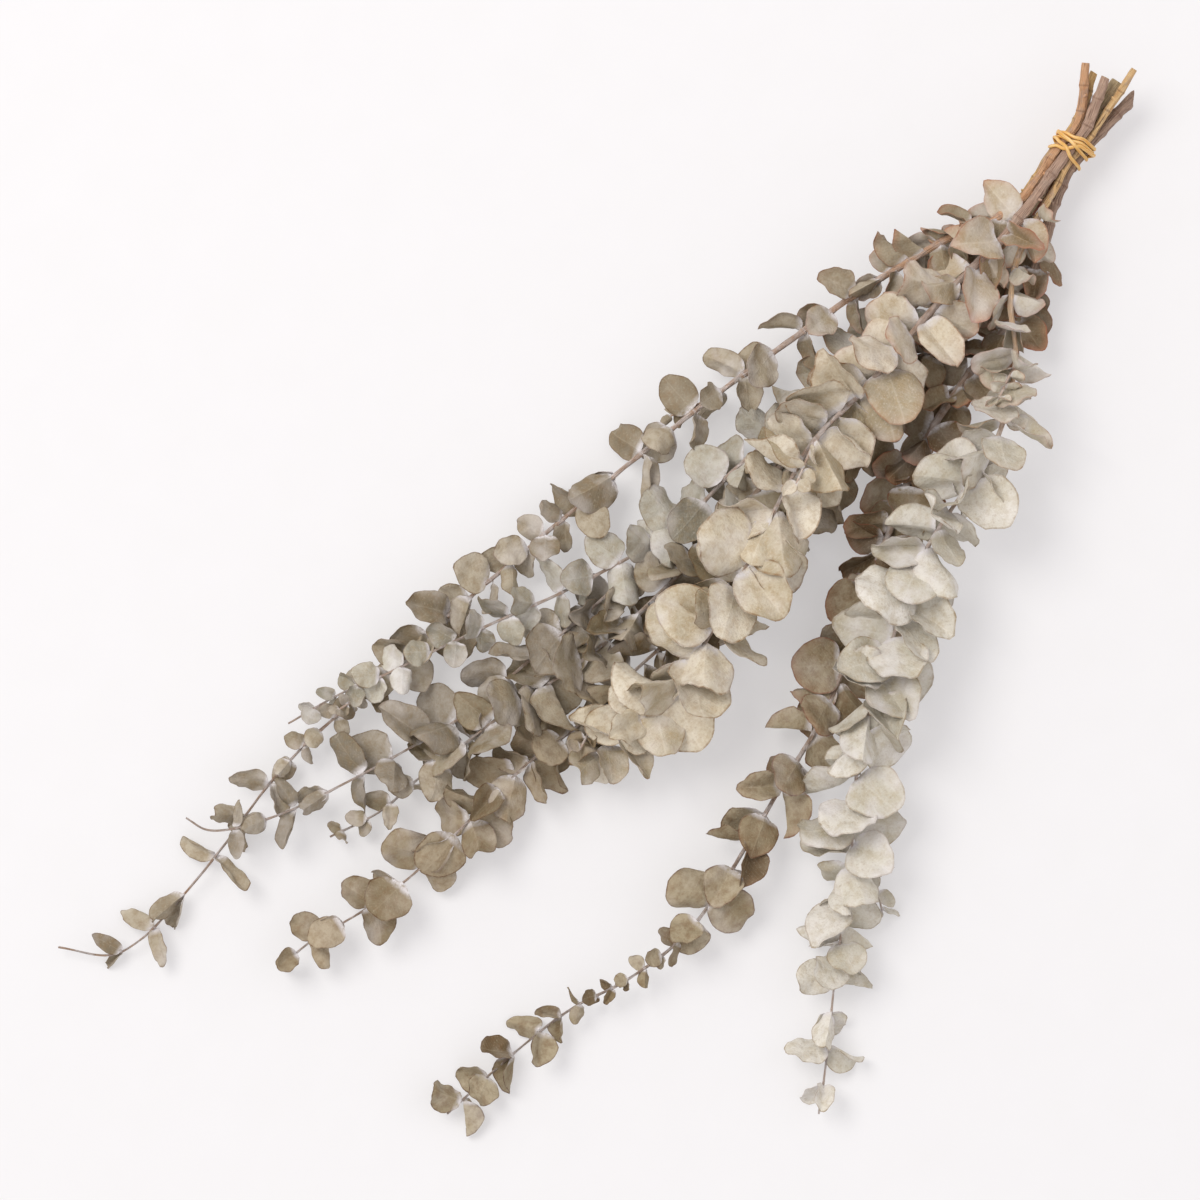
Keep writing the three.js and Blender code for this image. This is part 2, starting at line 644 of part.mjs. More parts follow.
// The first place in which a leaf is clear of the other branches and of its own, if there is one.
function settle(branch, line, stem, radius, pair, side) {
  for (const place of LEAF_PLACES) {
    const leaf = leafOf(branch, line, radius, pair, side, place);
    restOnSurface(leaf);
    const patch = pair.patches[side];
    const roomy = bladeSolid(leaf, patch, BLADE_THICK + BLADE_ROOM);
    const snug = bladeSolid(leaf, patch, BLADE_THICK + OWN_ROOM);
    const box = boxOf(roomy);
    const near = placed.filter((other) => isNear(other, box));
    const crossing = (other) => shared(other.owner === branch.name ? snug : roomy, other.shape);
    if (near.some((other) => crossing(other) > LEAST_CROSSING)) continue;
    const blade = bladeSolid(leaf, patch, BLADE_THICK);
    if (joinsCleanly(stem, blade)) return blade;
  }
  return null;
}

function addLeaves(branch, line, stem, pairs, radiusAt) {
  for (const pair of pairs)
    for (const side of [0, 1]) {
      const blade = settle(branch, line, stem, radiusAt(pair.s), pair, side);
      if (blade) branch.pieces.push(put(branch, blade));
    }
}

// Buds on short stalks
for (const branch of branches)
  for (const [s, turn, length, count] of branch.buds ?? []) {
    const line = shootLine(branch.line, s, turn, length, 0.25);
    const stalk = loft(leafyRings(line, 0, line.total, [], () => SHOOT_RADIUS));
    if (!clearOfOthers(branch, stalk)) continue;
    branch.pieces.push(put(branch, stalk));
    const draw = draws(branch.seed * 613 + s);
    for (let k = 0; k < count; k++) {
      const height = 1 - (2 * (k + 0.5)) / count;
      const flat = Math.sqrt(1 - height * height);
      const along = new THREE.Vector3(flat * Math.cos(2.4 * k), flat * Math.sin(2.4 * k), height).normalize();
      const one = bud(line.at(line.total - 0.5), along, BUD_SIZE + BUD_SPREAD * draw());
      if (clearOfOthers(branch, one)) branch.pieces.push(put(branch, one));
    }
  }

for (const branch of branches) {
  const [, leafy] = branch.pieces;
  addLeaves(branch, branch.line, leafy, branch.pairs, branch.radiusAt);
}

// Side shoots with small leaves
for (const branch of branches)
  branch.shoots.forEach(([s, turn, length, leafLength], number) => {
    const line = shootLine(branch.line, s, turn, length, 0.2);
    const count = Math.max(2, Math.round(length / (leafLength * 0.8)));
    const pairs = Array.from({ length: count }, (_, k) => ({
      k,
      shoot: number + 1,
      s: Math.min(((k + 1) * line.total) / count, line.total - 1.2),
      turn: 40 + GROWTH.quarterTurn * k,
      length: leafLength * (1.15 - (0.35 * (k + 1)) / count),
      slim: 0.9,
    }));
    const rings = leafyRings(line, 0, line.total, pairs, () => SHOOT_RADIUS);
    if (!clearOfOthers(branch, loft(rings))) return;
    const shoot = putRings(branch, rings);
    branch.pieces.push(shoot);
    addLeaves(branch, line, shoot, pairs, () => SHOOT_RADIUS);
  });

// The largest body of what has been joined. A scrap that missed its stem is dropped.
function oneBody(shape) {
  return shape.decompose().sort((a, b) => b.volume() - a.volume())[0];
}

// One turn of the band, drawn tight round the stems that pass through it.
function bandTurn([place, lean]) {
  const rings = [];
  for (let k = 0; k < BAND_POINTS; k++) {
    const angle = (2 * Math.PI * k) / BAND_POINTS;
    const x = BAND_CENTRE.x + place + lean * Math.cos(angle);
    const outward = new THREE.Vector3(0, Math.cos(angle), Math.sin(angle));
    let best = null;
    for (const branch of branches) {
      const [y, z] = slots.get(branch.name);
      const centre = new THREE.Vector3(x, y, z);
      const reach = centre.dot(outward) - x * outward.x + branch.radius;
      if (!best || reach > best.reach) best = { reach, centre, radius: branch.radius };
    }
    const centre = best.centre.addScaledVector(outward, best.radius + TOUCH + BAND_RADIUS);
    rings.push(
      Array.from({ length: BAND_SIDES }, (_, i) => {
        const turn = (2 * Math.PI * i) / BAND_SIDES;
        return centre
          .clone()
          .addScaledVector(outward, -BAND_RADIUS * Math.cos(turn))
          .add(new THREE.Vector3(BAND_RADIUS * Math.sin(turn), 0, 0));
      }),
    );
  }
  const triangles = [];
  for (let i = 0; i < BAND_POINTS; i++)
    for (let k = 0; k < BAND_SIDES; k++) {
      const a = i * BAND_SIDES + k;
      const b = i * BAND_SIDES + ((k + 1) % BAND_SIDES);
      const c = (((i + 1) % BAND_POINTS) * BAND_SIDES) + k;
      const d = (((i + 1) % BAND_POINTS) * BAND_SIDES) + ((k + 1) % BAND_SIDES);
      triangles.push(a, b, d, a, d, c);
    }
  return solid(rings.flat(), triangles);
}

function meshOf(name, shape, material) {
  const mesh = shape.getMesh();
  const positions = new Float32Array(mesh.numVert * 3);
  for (let i = 0; i < mesh.numVert; i++)
    positions.set(mesh.vertProperties.subarray(i * mesh.numProp, i * mesh.numProp + 3), i * 3);
  const geometry = new THREE.BufferGeometry();
  geometry.setAttribute("position", new THREE.BufferAttribute(positions, 3));
  geometry.setIndex(new THREE.BufferAttribute(mesh.triVerts, 1));
  const made = new THREE.Mesh(geometry, material);
  made.name = name;
  return made;
}

function dried(colour) {
  return new THREE.MeshStandardMaterial({ color: colour, roughness: 0.85, metalness: 0 });
}

const latex = new THREE.MeshStandardMaterial({ color: "#d79b3f", roughness: 0.5, metalness: 0 });

const bunch = new THREE.Group();
for (const branch of branches) {
  const joined = wasm.Manifold.union(branch.pieces).simplify(FINEST);
  bunch.add(meshOf(branch.name, oneBody(joined), dried(branch.colour)));
}
bunch.add(meshOf("rubber_band", oneBody(wasm.Manifold.union(BAND_TURNS.map(bandTurn))), latex));
bunch.position.set(-MIDDLE.x, -MIDDLE.y, 0);

export default bunch;
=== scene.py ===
import math

import bpy
import numpy as np
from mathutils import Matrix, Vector, bvhtree, kdtree


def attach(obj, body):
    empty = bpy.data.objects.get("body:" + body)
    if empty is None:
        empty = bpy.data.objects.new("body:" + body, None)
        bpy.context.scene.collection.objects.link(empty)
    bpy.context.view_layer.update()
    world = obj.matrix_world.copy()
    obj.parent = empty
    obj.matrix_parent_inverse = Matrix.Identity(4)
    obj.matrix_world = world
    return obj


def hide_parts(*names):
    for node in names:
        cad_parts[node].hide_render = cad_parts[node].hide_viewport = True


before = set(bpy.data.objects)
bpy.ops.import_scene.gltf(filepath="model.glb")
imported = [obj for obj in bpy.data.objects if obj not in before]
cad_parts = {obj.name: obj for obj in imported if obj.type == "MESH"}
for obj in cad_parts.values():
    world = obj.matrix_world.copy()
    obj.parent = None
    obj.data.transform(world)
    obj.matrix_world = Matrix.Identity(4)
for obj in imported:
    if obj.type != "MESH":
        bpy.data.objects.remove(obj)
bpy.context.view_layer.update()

scene = bpy.context.scene

# The studio: a camera straight above the bunch, which lies slanting across the picture, a large soft
# light from the picture's upper left, and an even pale surround that keeps the shadows open.
PICTURE_MIDDLE = (-0.0331, 0.0697)
PICTURE_WIDTH = 0.600  # what the picture takes in on the table
PICTURE_TURN = -52.0  # degrees
CAMERA_HEIGHT = 2.8
SENSOR = 36.0

camera_data = bpy.data.cameras.new("camera")
camera_data.sensor_width = SENSOR
camera_data.lens = SENSOR * CAMERA_HEIGHT / PICTURE_WIDTH
camera_data.clip_end = 50.0
camera = bpy.data.objects.new("camera", camera_data)
camera.location = (*PICTURE_MIDDLE, CAMERA_HEIGHT)
camera.rotation_euler = (0.0, 0.0, math.radians(PICTURE_TURN))
scene.collection.objects.link(camera)
scene.camera = camera
scene.view_settings.view_transform = "Standard"


def linear(hex_colour):
    """An sRGB hex colour as the linear colour that Blender works in"""
    shares = [int(hex_colour[i : i + 2], 16) / 255 for i in (1, 3, 5)]
    return (*(c / 12.92 if c <= 0.04045 else ((c + 0.055) / 1.055) ** 2.4 for c in shares), 1.0)


def soft_light(name, size, power, colour, place):
    light = bpy.data.lights.new(name, "AREA")
    light.shape = "DISK"
    light.size = size
    light.energy = power
    light.color = linear(colour)[:3]
    made = bpy.data.objects.new(name, light)
    made.location = place
    made.rotation_euler = (-Vector(place)).to_track_quat("-Z", "Y").to_euler()
    scene.collection.objects.link(made)


soft_light("key_light", 1.9, 66.0, "#fffcf8", (0.03, 1.9, 3.0))
soft_light("fill_light", 2.5, 5.0, "#fbf6f6", (1.6, -1.2, 2.0))

surround = bpy.data.worlds.new("pale_surround")
surround.use_nodes = True
surround.node_tree.nodes["Background"].inputs["Color"].default_value = linear("#f4f0f2")
surround.node_tree.nodes["Background"].inputs["Strength"].default_value = 0.86
scene.world = surround

# The table: a sheet of smooth white board on a light box, so that shadows on it stay pale. It is dull, with
# a hint of grain.
BOARD_HALF = 4.0
BOARD_DROP = 0.0003  # under the leaves, so that the two don't flicker where they meet


def put_in(tree, node, inputs):
    """Puts numbers, hex colours or what comes out of other nodes into a node"""
    for socket, value in inputs.items():
        if isinstance(value, bpy.types.NodeSocket):
            tree.links.new(value, node.inputs[socket])
        else:
            node.inputs[socket].default_value = linear(value) if isinstance(value, str) else value


def add(tree, kind, inputs=None, out=0, **settings):
    """Adds a node with its settings and what goes into it, and gives what comes out of it"""
    node = tree.nodes.new("ShaderNode" + kind)
    for name, value in settings.items():
        setattr(node, name, value)
    put_in(tree, node, inputs or {})
    return node.outputs if out is None else node.outputs[out]


def new_material(name):
    """A material, the tree of its nodes and its shader"""
    material = bpy.data.materials.new(name)
    material.use_nodes = True
    return material, material.node_tree, material.node_tree.nodes["Principled BSDF"]


board_mesh = bpy.data.meshes.new("board")
corners = [
    (x * BOARD_HALF, y * BOARD_HALF, -BOARD_DROP) for x, y in ((-1, -1), (1, -1), (1, 1), (-1, 1))
]
board_mesh.from_pydata(corners, [], [(0, 1, 2, 3)])
board = bpy.data.objects.new("board", board_mesh)
scene.collection.objects.link(board)
white_board, tree, shader = new_material("white_board")
grain = add(tree, "TexNoise", {"Scale": 300.0, "Detail": 2.0})
tone = add(tree, "Mix", {0: grain, 6: "#b2b2b2", 7: "#b5b5b6"}, out=2, data_type="RGBA")
lit = {"Emission Color": "#fdfbfc", "Emission Strength": 0.4}
put_in(tree, shader, {"Base Color": tone, "Roughness": 0.9, **lit})
board_mesh.materials.append(white_board)

# The stems: eight young eucalyptus branches, cut and air-dried. Their bark has shrunk to fine lengthways
# wrinkles, each pair of leaves has left a ring round it, and the cut ends show pale wood.
# Millimetres, in the frame of the routes, until a mesh is made.
MIDDLE = np.array([16.84, -56.99, 0.0])
TOUCH = 0.3  # the gap between stems in the band
BAND_CENTRE = np.array([306.0, -33.0, 24.0])
BAND_REACH = 10.0  # the stems run side by side this far each way from the middle of the band
TIP_RADIUS = 0.65
BARE_LENGTH = 78.0
CURVE_STEPS = 12  # from one point of a route to the next

# Of each branch: the radius in the band, the cut end and how oblique it is, the route after the band, the
# turn of the first pair (phase), how many degrees wider the leaves open, the leaves (distance along, length,
# gap, slimness), the shoots (distance along, turn, length, leaf length) and the buds (distance along, turn,
# stalk, number)
BRANCHES = [
    dict(
        name="branch_top", slot="leaf_cream", seed=5, radius=2.6, end=(341, -25, 35), slant=0.1,
        route=[
            (280, -34, 33), (249, -34, 37), (207, -29, 43), (177, -27, 46), (147, -26, 48), (108, -22, 50),
            (76, -27, 50), (40, -34, 50), (1, -41, 46), (-40, -42, 38), (-65, -34, 30), (-91, -35, 22),
        ],
        phase=20, open=6,
        leaves=[
            (84, 25, 13, 1.0), (130, 28, 14, 1.05), (200, 31, 16, 1.1), (270, 32, 17, 1.1),
            (360, 33, 17, 1.05), (395, 28, 14, 1.05), (425, 21, 12, 1.0), (445, 15, 10, 0.9),
        ],
        shoots=[(235, 70, 26, 11), (404, 250, 34, 13)], buds=[],
    ),
    dict(
        name="branch_right_pale", slot="leaf_pale", seed=7, radius=1.8, end=(353, -34, 33), slant=0,
        route=[
            (279, -40, 29), (260, -42, 31), (243, -46, 33), (225, -56, 35), (203, -76, 38), (168, -92, 42),
            (142, -95, 44), (100, -99, 43), (46, -117, 40), (1, -136, 34), (-36, -161, 27), (-67, -180, 21),
            (-94, -196, 16), (-127, -217, 11), (-151, -231, 8),
        ],
        phase=75, open=2,
        leaves=[
            (88, 17, 11, 1.0), (150, 19, 12, 1.05), (185, 24, 14, 1.1), (230, 28, 16, 1.1),
            (330, 30, 16, 1.1), (400, 28, 17, 1.1), (440, 24, 17, 1.0), (520, 20, 15, 0.9),
            (548, 16, 12, 0.85),
        ],
        shoots=[(392, 290, 62, 13), (165, 120, 22, 9)], buds=[],
    ),
    dict(
        name="branch_left_long", slot="leaf_green_grey", seed=1, radius=2.3, end=(341, -13, 30), slant=0,
        route=[
            (279, -30, 29), (256, -27, 30), (231, -13, 30), (211, -5, 28), (187, 4, 27), (135, 20, 24),
            (76, 36, 21), (9, 51, 19), (-69, 67, 17), (-119, 75, 16), (-156, 83, 15), (-191, 86, 14),
            (-229, 85, 11), (-264, 86, 9), (-291, 89, 8), (-306, 96, 7), (-319, 119, 7),
        ],
        phase=60, open=-4,
        leaves=[
            (92, 17, 12, 0.9), (150, 19, 13, 0.85), (205, 22, 14, 0.9), (260, 19, 13, 0.95),
            (322, 26, 14, 1.0), (352, 16, 10, 0.85), (398, 17, 10, 0.95), (428, 24, 12, 1.05),
            (462, 18, 11, 1.0), (500, 11, 8, 1.0), (522, 10, 9, 1.0), (545, 15, 14, 0.9),
            (565, 24, 20, 0.62), (630, 22, 20, 0.6), (668, 15, 16, 0.5),
        ],
        shoots=[(262, 250, 20, 9), (486, 100, 18, 7)], buds=[],
    ),
    dict(
        name="branch_left_budded", slot="leaf_blue_grey", seed=2, radius=2.2, end=(341, -19, 24), slant=0.2,
        route=[
            (279, -29, 20), (258, -30, 18), (227, -26, 17), (197, -21, 18), (166, -14, 20), (133, -9, 22),
            (100, -5, 24), (75, 0, 24), (36, 5, 22), (-19, 27, 22), (-57, 47, 24), (-95, 66, 27),
            (-113, 75, 26), (-131, 85, 22), (-160, 97, 16),
        ],
        phase=35, open=4,
        leaves=[
            (96, 20, 14, 1.0), (170, 21, 14, 1.0), (240, 22, 13, 1.0), (300, 22, 14, 1.05),
            (350, 20, 13, 1.0), (385, 18, 13, 0.95), (430, 15, 12, 1.0), (485, 13, 11, 0.9),
            (520, 10, 9, 0.9),
        ],
        shoots=[], buds=[(150, 95, 9, 8), (172, 60, 8, 7), (196, 110, 12, 12)],
    ),
    dict(
        name="branch_right_dark", slot="leaf_olive", seed=8, radius=3.0, end=(346, -43, 20), slant=1.1,
        route=[
            (279, -43, 21), (257, -53, 18), (226, -62, 15), (176, -63, 13), (147, -66, 13), (110, -76, 14),
            (60, -94, 15), (11, -109, 18), (-48, -117, 20), (-89, -122, 22), (-121, -123, 22),
            (-157, -114, 17), (-186, -101, 14), (-223, -92, 11), (-265, -85, 9),
        ],
        phase=10, open=-6,
        leaves=[
            (94, 20, 14, 1.0), (170, 22, 14, 1.0), (300, 25, 15, 1.05), (400, 24, 14, 1.0),
            (428, 22, 12, 0.95), (452, 25, 13, 1.05), (478, 17, 11, 0.95), (494, 10, 8, 0.9),
            (530, 8, 7, 0.9), (548, 12, 9, 0.85), (572, 20, 14, 0.95), (625, 17, 12, 0.95),
            (640, 13, 9, 0.9),
        ],
        shoots=[], buds=[],
    ),
    dict(
        name="branch_inner_right", slot="leaf_olive", seed=6, radius=1.8, end=(332, -36, 11), slant=0.3,
        route=[
            (279, -37, 17), (250, -39, 14), (202, -42, 11), (149, -42, 10), (110, -41, 11), (71, -39, 13),
            (25, -34, 16), (-14, -26, 17), (-49, -20, 18), (-77, -16, 18), (-102, -9, 19), (-130, -5, 20),
            (-181, 2, 20), (-212, 11, 19), (-237, 21, 16), (-254, 25, 13),
        ],
        phase=0, open=-8,
        leaves=[
            (110, 18, 19, 1.0), (230, 22, 18, 1.0), (330, 25, 17, 1.05), (420, 23, 16, 1.0),
            (470, 24, 16, 0.95), (500, 25, 16, 1.0), (540, 22, 14, 0.95), (570, 18, 12, 0.85),
            (595, 13, 9, 0.8),
        ],
        shoots=[(392, 60, 28, 10)], buds=[],
    ),
    dict(
        name="branch_inner_middle", slot="leaf_green_grey", seed=4, radius=3.2, end=(344, -31, 26), slant=0,
        route=[
            (280, -34, 24), (235, -36, 26), (182, -27, 26), (133, -20, 25), (80, -16, 25), (36, -12, 24),
            (-1, -8, 22), (-34, -2, 20), (-58, 5, 20), (-84, 14, 21), (-107, 20, 21), (-141, 29, 18),
            (-166, 34, 15), (-192, 46, 10),
        ],
        phase=50, open=-2,
        leaves=[
            (104, 18, 18, 1.0), (200, 22, 17, 1.05), (300, 24, 15, 1.05), (380, 26, 15, 1.1),
            (450, 25, 14, 1.05), (490, 20, 13, 0.95), (520, 12, 11, 0.9), (548, 8, 9, 0.85),
        ],
        shoots=[(452, 270, 30, 9)], buds=[],
    ),
    dict(
        name="branch_inner_left", slot="leaf_green_grey", seed=3, radius=1.9, end=(335, -22, 14), slant=0.9,
        route=[
            (279, -32, 16), (262, -34, 13), (232, -35, 12), (188, -28, 11), (147, -22, 12), (105, -16, 13),
            (66, -12, 14), (18, 5, 16), (-30, 15, 18), (-62, 22, 18), (-104, 31, 18), (-135, 43, 18),
            (-165, 56, 18), (-192, 69, 20), (-215, 84, 24), (-226, 96, 23), (-228, 108, 20),
        ],
        phase=85, open=-4,
        leaves=[
            (108, 17, 20, 1.0), (220, 21, 18, 1.0), (300, 22, 16, 1.05), (380, 25, 15, 1.1),
            (450, 26, 15, 1.1), (490, 24, 15, 0.9), (520, 20, 14, 0.62), (560, 18, 14, 0.6),
            (588, 10, 9, 0.5),
        ],
        shoots=[], buds=[],
    ),
]
MIDDLE_STEM = "branch_inner_middle"
ROUND_THE_MIDDLE = [
    "branch_top", "branch_left_long", "branch_left_budded", "branch_inner_left", "branch_inner_right",
    "branch_right_dark", "branch_right_pale",
]
UP = np.array([0.0, 0.0, 1.0])
WHOLE = 1 << 32


def draws(seed):
    """A repeatable stream of numbers from 0 to 1, the same as the solids' own"""
    state = (seed * 2654435761) % WHOLE

    def draw():
        nonlocal state
        state = (state + 0x6D2B79F5) % WHOLE
        t = state
        t = ((t ^ (t >> 15)) * (t | 1)) % WHOLE
        t ^= (t + ((t ^ (t >> 7)) * (t | 61)) % WHOLE) % WHOLE
        return (t ^ (t >> 14)) / WHOLE

    return draw


def unit(v):
    return v / np.linalg.norm(v, axis=-1, keepdims=True)


class CentreLine:
    """The smooth middle line of a stem, measured along it from where it starts"""

    def __init__(self, points):
        points = np.array(points, float)
        samples = (len(points) - 1) * CURVE_STEPS
        self.fine = np.array([self.curve(points, k / samples) for k in range(samples + 1)])
        steps = np.linalg.norm(np.diff(self.fine, axis=0), axis=1)
        self.run = np.concatenate([[0.0], np.cumsum(steps)])
        self.total = self.run[-1]

    @staticmethod
    def curve(points, share):
        last = len(points) - 1
        place = last * share
        i = min(int(place), last - 1)
        weight = place - i
        p1, p2 = points[i], points[i + 1]
        p0 = points[i - 1] if i > 0 else 2 * points[0] - points[1]
        p3 = points[i + 2] if i + 2 <= last else 2 * points[last] - points[last - 1]
        d0, d1, d2 = (np.linalg.norm(b - a) ** 0.5 for a, b in ((p0, p1), (p1, p2), (p2, p3)))
        t1 = ((p1 - p0) / d0 - (p2 - p0) / (d0 + d1) + (p2 - p1) / d1) * d1
        t2 = ((p2 - p1) / d1 - (p3 - p1) / (d1 + d2) + (p3 - p2) / d2) * d1
        c2 = -3 * p1 + 3 * p2 - 2 * t1 - t2
        c3 = 2 * p1 - 2 * p2 + t1 + t2
        return p1 + t1 * weight + c2 * weight**2 + c3 * weight**3

    def at(self, s):
        i = min(max(int(np.searchsorted(self.run, s)), 1), len(self.run) - 1)
        share = (s - self.run[i - 1]) / (self.run[i] - self.run[i - 1])
        return self.fine[i - 1] + (self.fine[i] - self.fine[i - 1]) * share

    def along(self, s):
        start = min(max(s - 3, 0), self.total - 3)
        return unit(self.at(min(s + 3, self.total)) - self.at(start))


def across(along):
    level = unit(np.cross(UP, along))
    return level, np.cross(along, level)


def outward(level, upright, degrees):
    return level * math.cos(math.radians(degrees)) + upright * math.sin(math.radians(degrees))


def band_slots():
    """Where each stem runs through the band: one in the middle and the rest round it"""
    by_name = {b["name"]: b for b in BRANCHES}
    middle = by_name[MIDDLE_STEM]["radius"]
    radii = [by_name[name]["radius"] for name in ROUND_THE_MIDDLE]
    reach = [middle + r + TOUCH for r in radii]
    steps = []
    for i, r in enumerate(radii):
        j = (i + 1) % len(radii)
        between = r + radii[j] + TOUCH
        steps.append(math.acos((reach[i] ** 2 + reach[j] ** 2 - between**2) / (2 * reach[i] * reach[j])))
    spare = (2 * math.pi - sum(steps)) / len(radii)
    slots = {MIDDLE_STEM: BAND_CENTRE[1:]}
    angle = math.pi / 2
    for i, name in enumerate(ROUND_THE_MIDDLE):
        slots[name] = BAND_CENTRE[1:] + reach[i] * np.array([math.cos(angle), math.sin(angle)])
        angle -= steps[i] + spare
    return slots


def row_at(rows, s):
    i = 1
    while i < len(rows) - 1 and rows[i][0] < s:
        i += 1
    share = min(max((s - rows[i - 1][0]) / (rows[i][0] - rows[i - 1][0]), 0), 1)
    return [a + (b - a) * share for a, b in zip(rows[i - 1], rows[i])]


QUARTER_TURN = 94  # degrees from one pair of leaves to the next
TURN_SPREAD = 24
GAP_SHARE, GAP_SPREAD = 1.08, 0.3  # of the gap that the row of leaves gives


def leaf_pairs(branch, total):
    """Pairs of leaves along a stem, each pair turned about a quarter from the last"""
    rows = branch["leaves"]
    pairs = []
    s, k = rows[0][0], 0
    while s <= min(rows[-1][0], total - 2):
        draw = draws(branch["seed"] * 997 + k)
        _, length, gap, slim = row_at(rows, s)
        turn = branch["phase"] + QUARTER_TURN * k + TURN_SPREAD * (draw() - 0.5)
        pairs.append(dict(k=k, s=s, length=length, slim=slim, turn=turn, shoot=0))
        s += gap * (GAP_SHARE + GAP_SPREAD * draw())
        k += 1
    return pairs


def stem_radius(branch, s):
    length = branch["line"].total - BARE_LENGTH
    share = np.clip((s - BARE_LENGTH) / length, 0, 1)
    return TIP_RADIUS + (branch["radius"] - TIP_RADIUS) * (1 - share) ** 1.5


slots_in_band = band_slots()
for branch in BRANCHES:
    y, z = slots_in_band[branch["name"]]
    in_band = [(BAND_CENTRE[0] + BAND_REACH, y, z), (BAND_CENTRE[0] - BAND_REACH, y, z)]
    branch["line"] = CentreLine([branch["end"], *in_band, *branch["route"]])
    branch["pairs"] = leaf_pairs(branch, branch["line"].total)


def make_piece(name, points, faces, materials, replaced, attributes=None, sharp=None, finish=None):
    """Makes a smooth piece from points in millimetres, and hides the solid that it stands for"""
    mesh = bpy.data.meshes.new(name)
    mesh.from_pydata(((np.asarray(points) - MIDDLE) / 1000).tolist(), [], faces)
    for label, values in (attributes or {}).items():
        layer = mesh.attributes.new(label, "FLOAT_VECTOR", "POINT")
        layer.data.foreach_set("vector", np.asarray(values, float).ravel())
    for material in materials:
        mesh.materials.append(material)
    if finish is not None:
        mesh.polygons.foreach_set("material_index", finish)
    mesh.polygons.foreach_set("use_smooth", [True] * len(mesh.polygons))
    if sharp:
        mesh.set_sharp_from_angle(angle=math.radians(sharp))
    mesh.validate()
    mesh.update()
    made = bpy.data.objects.new(name, mesh)
    scene.collection.objects.link(made)
    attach(made, "root")
    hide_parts(replaced)
    return made


def ring_of(centre, level, upright, angle, radius):
    """Points round a centre, at those angles and that far out"""
    return centre + np.outer(radius * np.cos(angle), level) + np.outer(radius * np.sin(angle), upright)


def tube_faces(rings, sides):
    """The faces between rings of points that follow one another, and then the two that close the ends"""
    faces = []
    for i in range(rings - 1):
        for k in range(sides):
            a, b = i * sides + k, i * sides + (k + 1) % sides
            faces.append((a, b, b + sides, a + sides))
    last = (rings - 1) * sides
    return [*faces, tuple(reversed(range(sides))), tuple(range(last, last + sides))]


def joined(meshes):
    """Several meshes of points, faces and values as one"""
    points, faces, values = [], [], []
    start = 0
    for some_points, some_faces, some_values in meshes:
        faces += [tuple(start + i for i in face) for face in some_faces]
        points.append(some_points)
        values.append(some_values)
        start += len(some_points)
    return np.concatenate(points), faces, np.concatenate(values)


STEM_SIDES = 14
STEM_STEP = 1.6  # between rings of points
RING_SWELLING = 0.22  # how much thicker a stem is at a leaf ring
RING_WIDTH = 1.3
BARE_RING_GAP = 13.0  # between the rings on the bare end
BARE_RING_SPREAD = (0.75, 0.7)  # of that gap: the least, and how much more it may be
END_CLEAR = 7  # no ring is nearer than this to the cut end or to the first leaves
END_WEAR = 0.9  # how much of its width the edge of the cut end keeps
# how full of the solid's radius the bark is: nearly all of it on the bare end, less on the leafy length
FULL_UP_TO, SHRUNK_FROM = 90, 150
FULL_SHARE, SHRUNK_SHARE = 0.96, 0.78
# the wrinkles: how many round the stem, how long each winds along it, and how high, as a share of the radius
WRINKLES = [(1, 23, 0.06), (2, 31, 0.08), (3, 19, 0.055), (5, 53, 0.055), (6, 13, 0.045)]


def bark_relief(seed, s, angle):
    """Lengthways wrinkles and slow unevenness of a dried stem, as a share of its radius"""
    draw = draws(seed * 71 + 5)
    relief = 0.0
    for count, wave, height in WRINKLES:
        turn = 2 * math.pi * draw()
        relief = relief + height * np.sin(count * angle + 2 * np.pi * s / wave + turn)
    return relief


def stem_mesh(branch):
    """Rings of points along a stem, closed at both ends, with the values that its bark is drawn from"""
    line, seed = branch["line"], branch["seed"]
    draw = draws(seed * 131 + 3)
    rings_at = [pair["s"] for pair in branch["pairs"]]
    s = END_CLEAR + 9 * draw()
    while s < rings_at[0] - END_CLEAR:
        rings_at.append(s)
        s += BARE_RING_GAP * (BARE_RING_SPREAD[0] + BARE_RING_SPREAD[1] * draw())
    rings_at = np.array(rings_at)
    cut = 2 * branch["slant"] * branch["radius"]
    stations = np.linspace(0, line.total, int(line.total / STEM_STEP))
    angle = 2 * np.pi * np.arange(STEM_SIDES) / STEM_SIDES
    points, bark = [], []
    for s in stations:
        along = line.along(s)
        ring = math.exp(-((np.abs(rings_at - s).min() / RING_WIDTH) ** 2))
        fullness = np.interp(s, (FULL_UP_TO, SHRUNK_FROM), (FULL_SHARE, SHRUNK_SHARE))
        radius = fullness * stem_radius(branch, s) * (1 + RING_SWELLING * ring + bark_relief(seed, s, angle))
        if s == 0:
            radius = radius * END_WEAR
        slope = branch["slant"] * branch["radius"] * (1 + np.cos(angle)) * max(0, 1 - s / (cut + 4))
        points.append(ring_of(line.at(s), *across(along), angle, radius) + np.outer(slope, along))
        far, ring = np.full(STEM_SIDES, s), np.full(STEM_SIDES, ring)
        bark.append(np.column_stack([far, angle * branch["radius"], ring]))
    return np.concatenate(points), tube_faces(len(stations), STEM_SIDES), np.concatenate(bark)


